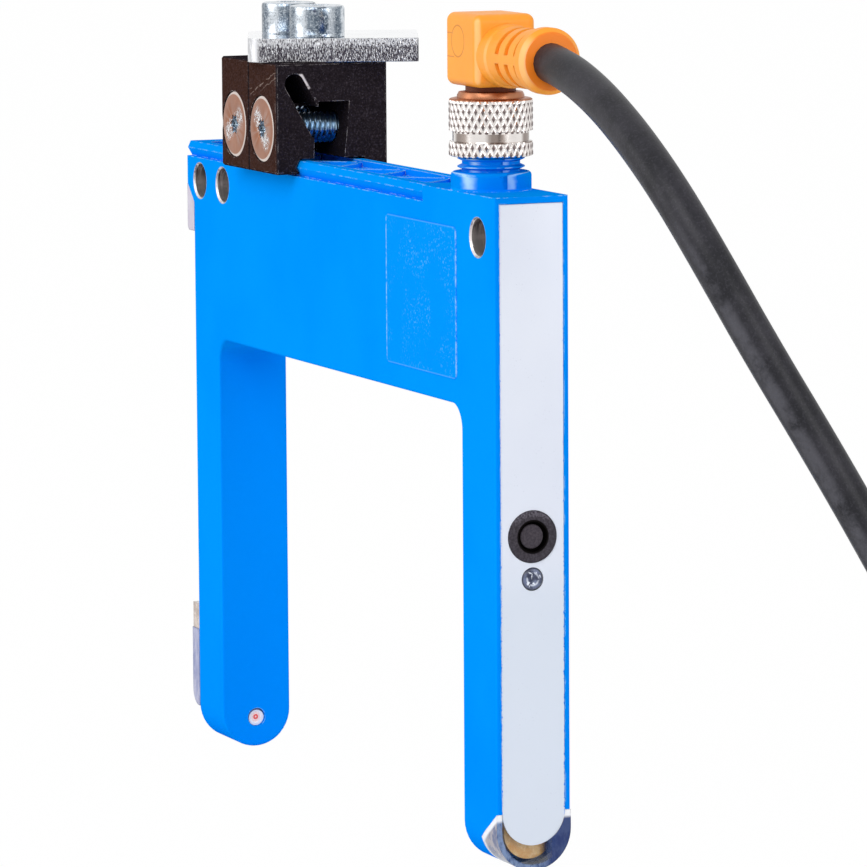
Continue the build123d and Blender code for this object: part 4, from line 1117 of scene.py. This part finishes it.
def area_light(name, place, aim, size, power):
    """A soft square white lamp that faces a point."""
    lamp = bpy.data.lights.new(name, "AREA")
    lamp.shape = "SQUARE"
    lamp.size = size
    lamp.energy = power
    obj = bpy.data.objects.new(name, lamp)
    obj.location = place
    obj.rotation_euler = (Vector(aim) - Vector(place)).to_track_quat("-Z", "Y").to_euler()
    bpy.context.scene.collection.objects.link(obj)


class SetStage(bpy.types.Operator):
    """Set the floor, the soft lamps and the camera at the photograph's angle"""

    bl_idname = "fork_sensor.set_stage"
    bl_label = "Stage"
    bl_options = {"REGISTER", "UNDO"}

    def execute(self, context):
        context.scene.view_settings.view_transform = "Standard"
        self.add_camera(settings_of(context))
        self.add_floor()
        self.light_world()
        area_light("key_lamp", (0.75, -0.95, 0.95), aim=(0, 0, -0.03), size=0.9, power=9)
        area_light("front_lamp", (-0.35, -1.2, 0.35), aim=(0, 0, -0.03), size=0.8, power=4)
        area_light("side_lamp", (1.3, 0.35, 0.35), aim=(0.04, 0, -0.03), size=0.7, power=5)
        return {"FINISHED"}

    def add_camera(self, settings):
        heading, dip, roll = settings.camera_turn
        flat = math.cos(dip)
        ahead = Vector((-math.cos(heading) * flat, math.sin(heading) * flat, -math.sin(dip)))
        level = Vector((math.sin(heading), math.cos(heading), 0))
        upright = level.cross(ahead)
        right = level * math.cos(roll) + upright * math.sin(roll)
        up = upright * math.cos(roll) - level * math.sin(roll)
        data = bpy.data.cameras.new("camera")
        data.lens = settings.lens
        data.sensor_width = 36
        data.clip_start = 0.01
        data.clip_end = 50
        camera = bpy.data.objects.new("camera", data)
        camera.rotation_euler = Matrix((right, up, -ahead)).transposed().to_euler()
        camera.location = settings.camera_place
        bpy.context.scene.collection.objects.link(camera)
        bpy.context.scene.camera = camera

    def add_floor(self):
        made = Finish("floor")
        rays = made.node("ShaderNodeLightPath", {}, {}, None)
        seen = Wire(made, rays.outputs["Is Camera Ray"])
        for name in ("Is Glossy Ray", "Is Transmission Ray"):
            seen = seen.most(Wire(made, rays.outputs[name]))
        made.set(Base_Color=colour(240, 240, 240), Roughness=0.9)
        glow = made.node("ShaderNodeEmission", {}, {"Color": (1, 1, 1, 1), "Strength": 1.0}, None)
        mixed = made.node("ShaderNodeMixShader", {}, {0: seen * 0.99}, None)
        made.tree.links.new(made.shader.outputs[0], mixed.inputs[1])
        made.tree.links.new(glow.outputs[0], mixed.inputs[2])
        made.tree.links.new(mixed.outputs[0], made.tree.nodes["Material Output"].inputs[0])
        reach = 14.0
        points = [(x * reach, y * reach, BOTTOM) for x, y in ((-1, -1), (1, -1), (1, 1), (-1, 1))]
        add_mesh("floor", points, [(0, 1, 2, 3)], made.material)

    def light_world(self):
        world = bpy.data.worlds.new("studio")
        world.use_nodes = True
        tree = world.node_tree
        lit = tree.nodes["Background"]
        lit.inputs["Color"].default_value = (1, 1, 1, 1)
        lit.inputs["Strength"].default_value = 0.6
        white = tree.nodes.new("ShaderNodeBackground")
        white.inputs["Strength"].default_value = 1.0
        white.inputs["Color"].default_value = (1, 1, 1, 1)
        rays = tree.nodes.new("ShaderNodeLightPath")
        mixed = tree.nodes.new("ShaderNodeMixShader")
        seen = tree.nodes.new("ShaderNodeMath")
        seen.operation = "MAXIMUM"
        tree.links.new(rays.outputs["Is Camera Ray"], seen.inputs[0])
        tree.links.new(rays.outputs["Is Glossy Ray"], seen.inputs[1])
        tree.links.new(seen.outputs[0], mixed.inputs[0])
        tree.links.new(lit.outputs[0], mixed.inputs[1])
        tree.links.new(white.outputs[0], mixed.inputs[2])
        tree.links.new(mixed.outputs[0], tree.nodes["World Output"].inputs[0])
        bpy.context.scene.world = world


OPERATORS = (DressHousing, DressControls, DressOptics, DressClamps, DressConnector, DressCable, SetStage)


class ForkSensorPanel(bpy.types.Panel):
    """Lists the sizes, the colours and the steps in order"""

    bl_idname = "VIEW3D_PT_fork_sensor"
    bl_label = "Fork sensor"
    bl_space_type = "VIEW_3D"
    bl_region_type = "UI"
    bl_category = "Fork sensor"

    def draw(self, context):
        settings = settings_of(context)
        for name in settings.__annotations__:
            self.layout.prop(settings, name)
        for operator in OPERATORS:
            self.layout.operator(operator.bl_idname)


CLASSES = (ForkSensorSettings, *OPERATORS, ForkSensorPanel)


def register():
    for cls in CLASSES:
        bpy.utils.register_class(cls)
    bpy.types.Scene.fork_sensor = PointerProperty(type=ForkSensorSettings)


def unregister():
    del bpy.types.Scene.fork_sensor
    for cls in reversed(CLASSES):
        bpy.utils.unregister_class(cls)


def main():
    register()
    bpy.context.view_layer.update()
    for operator in OPERATORS:
        group, name = operator.bl_idname.split(".")
        getattr(getattr(bpy.ops, group), name)()


if __name__ == "__main__":
    main()
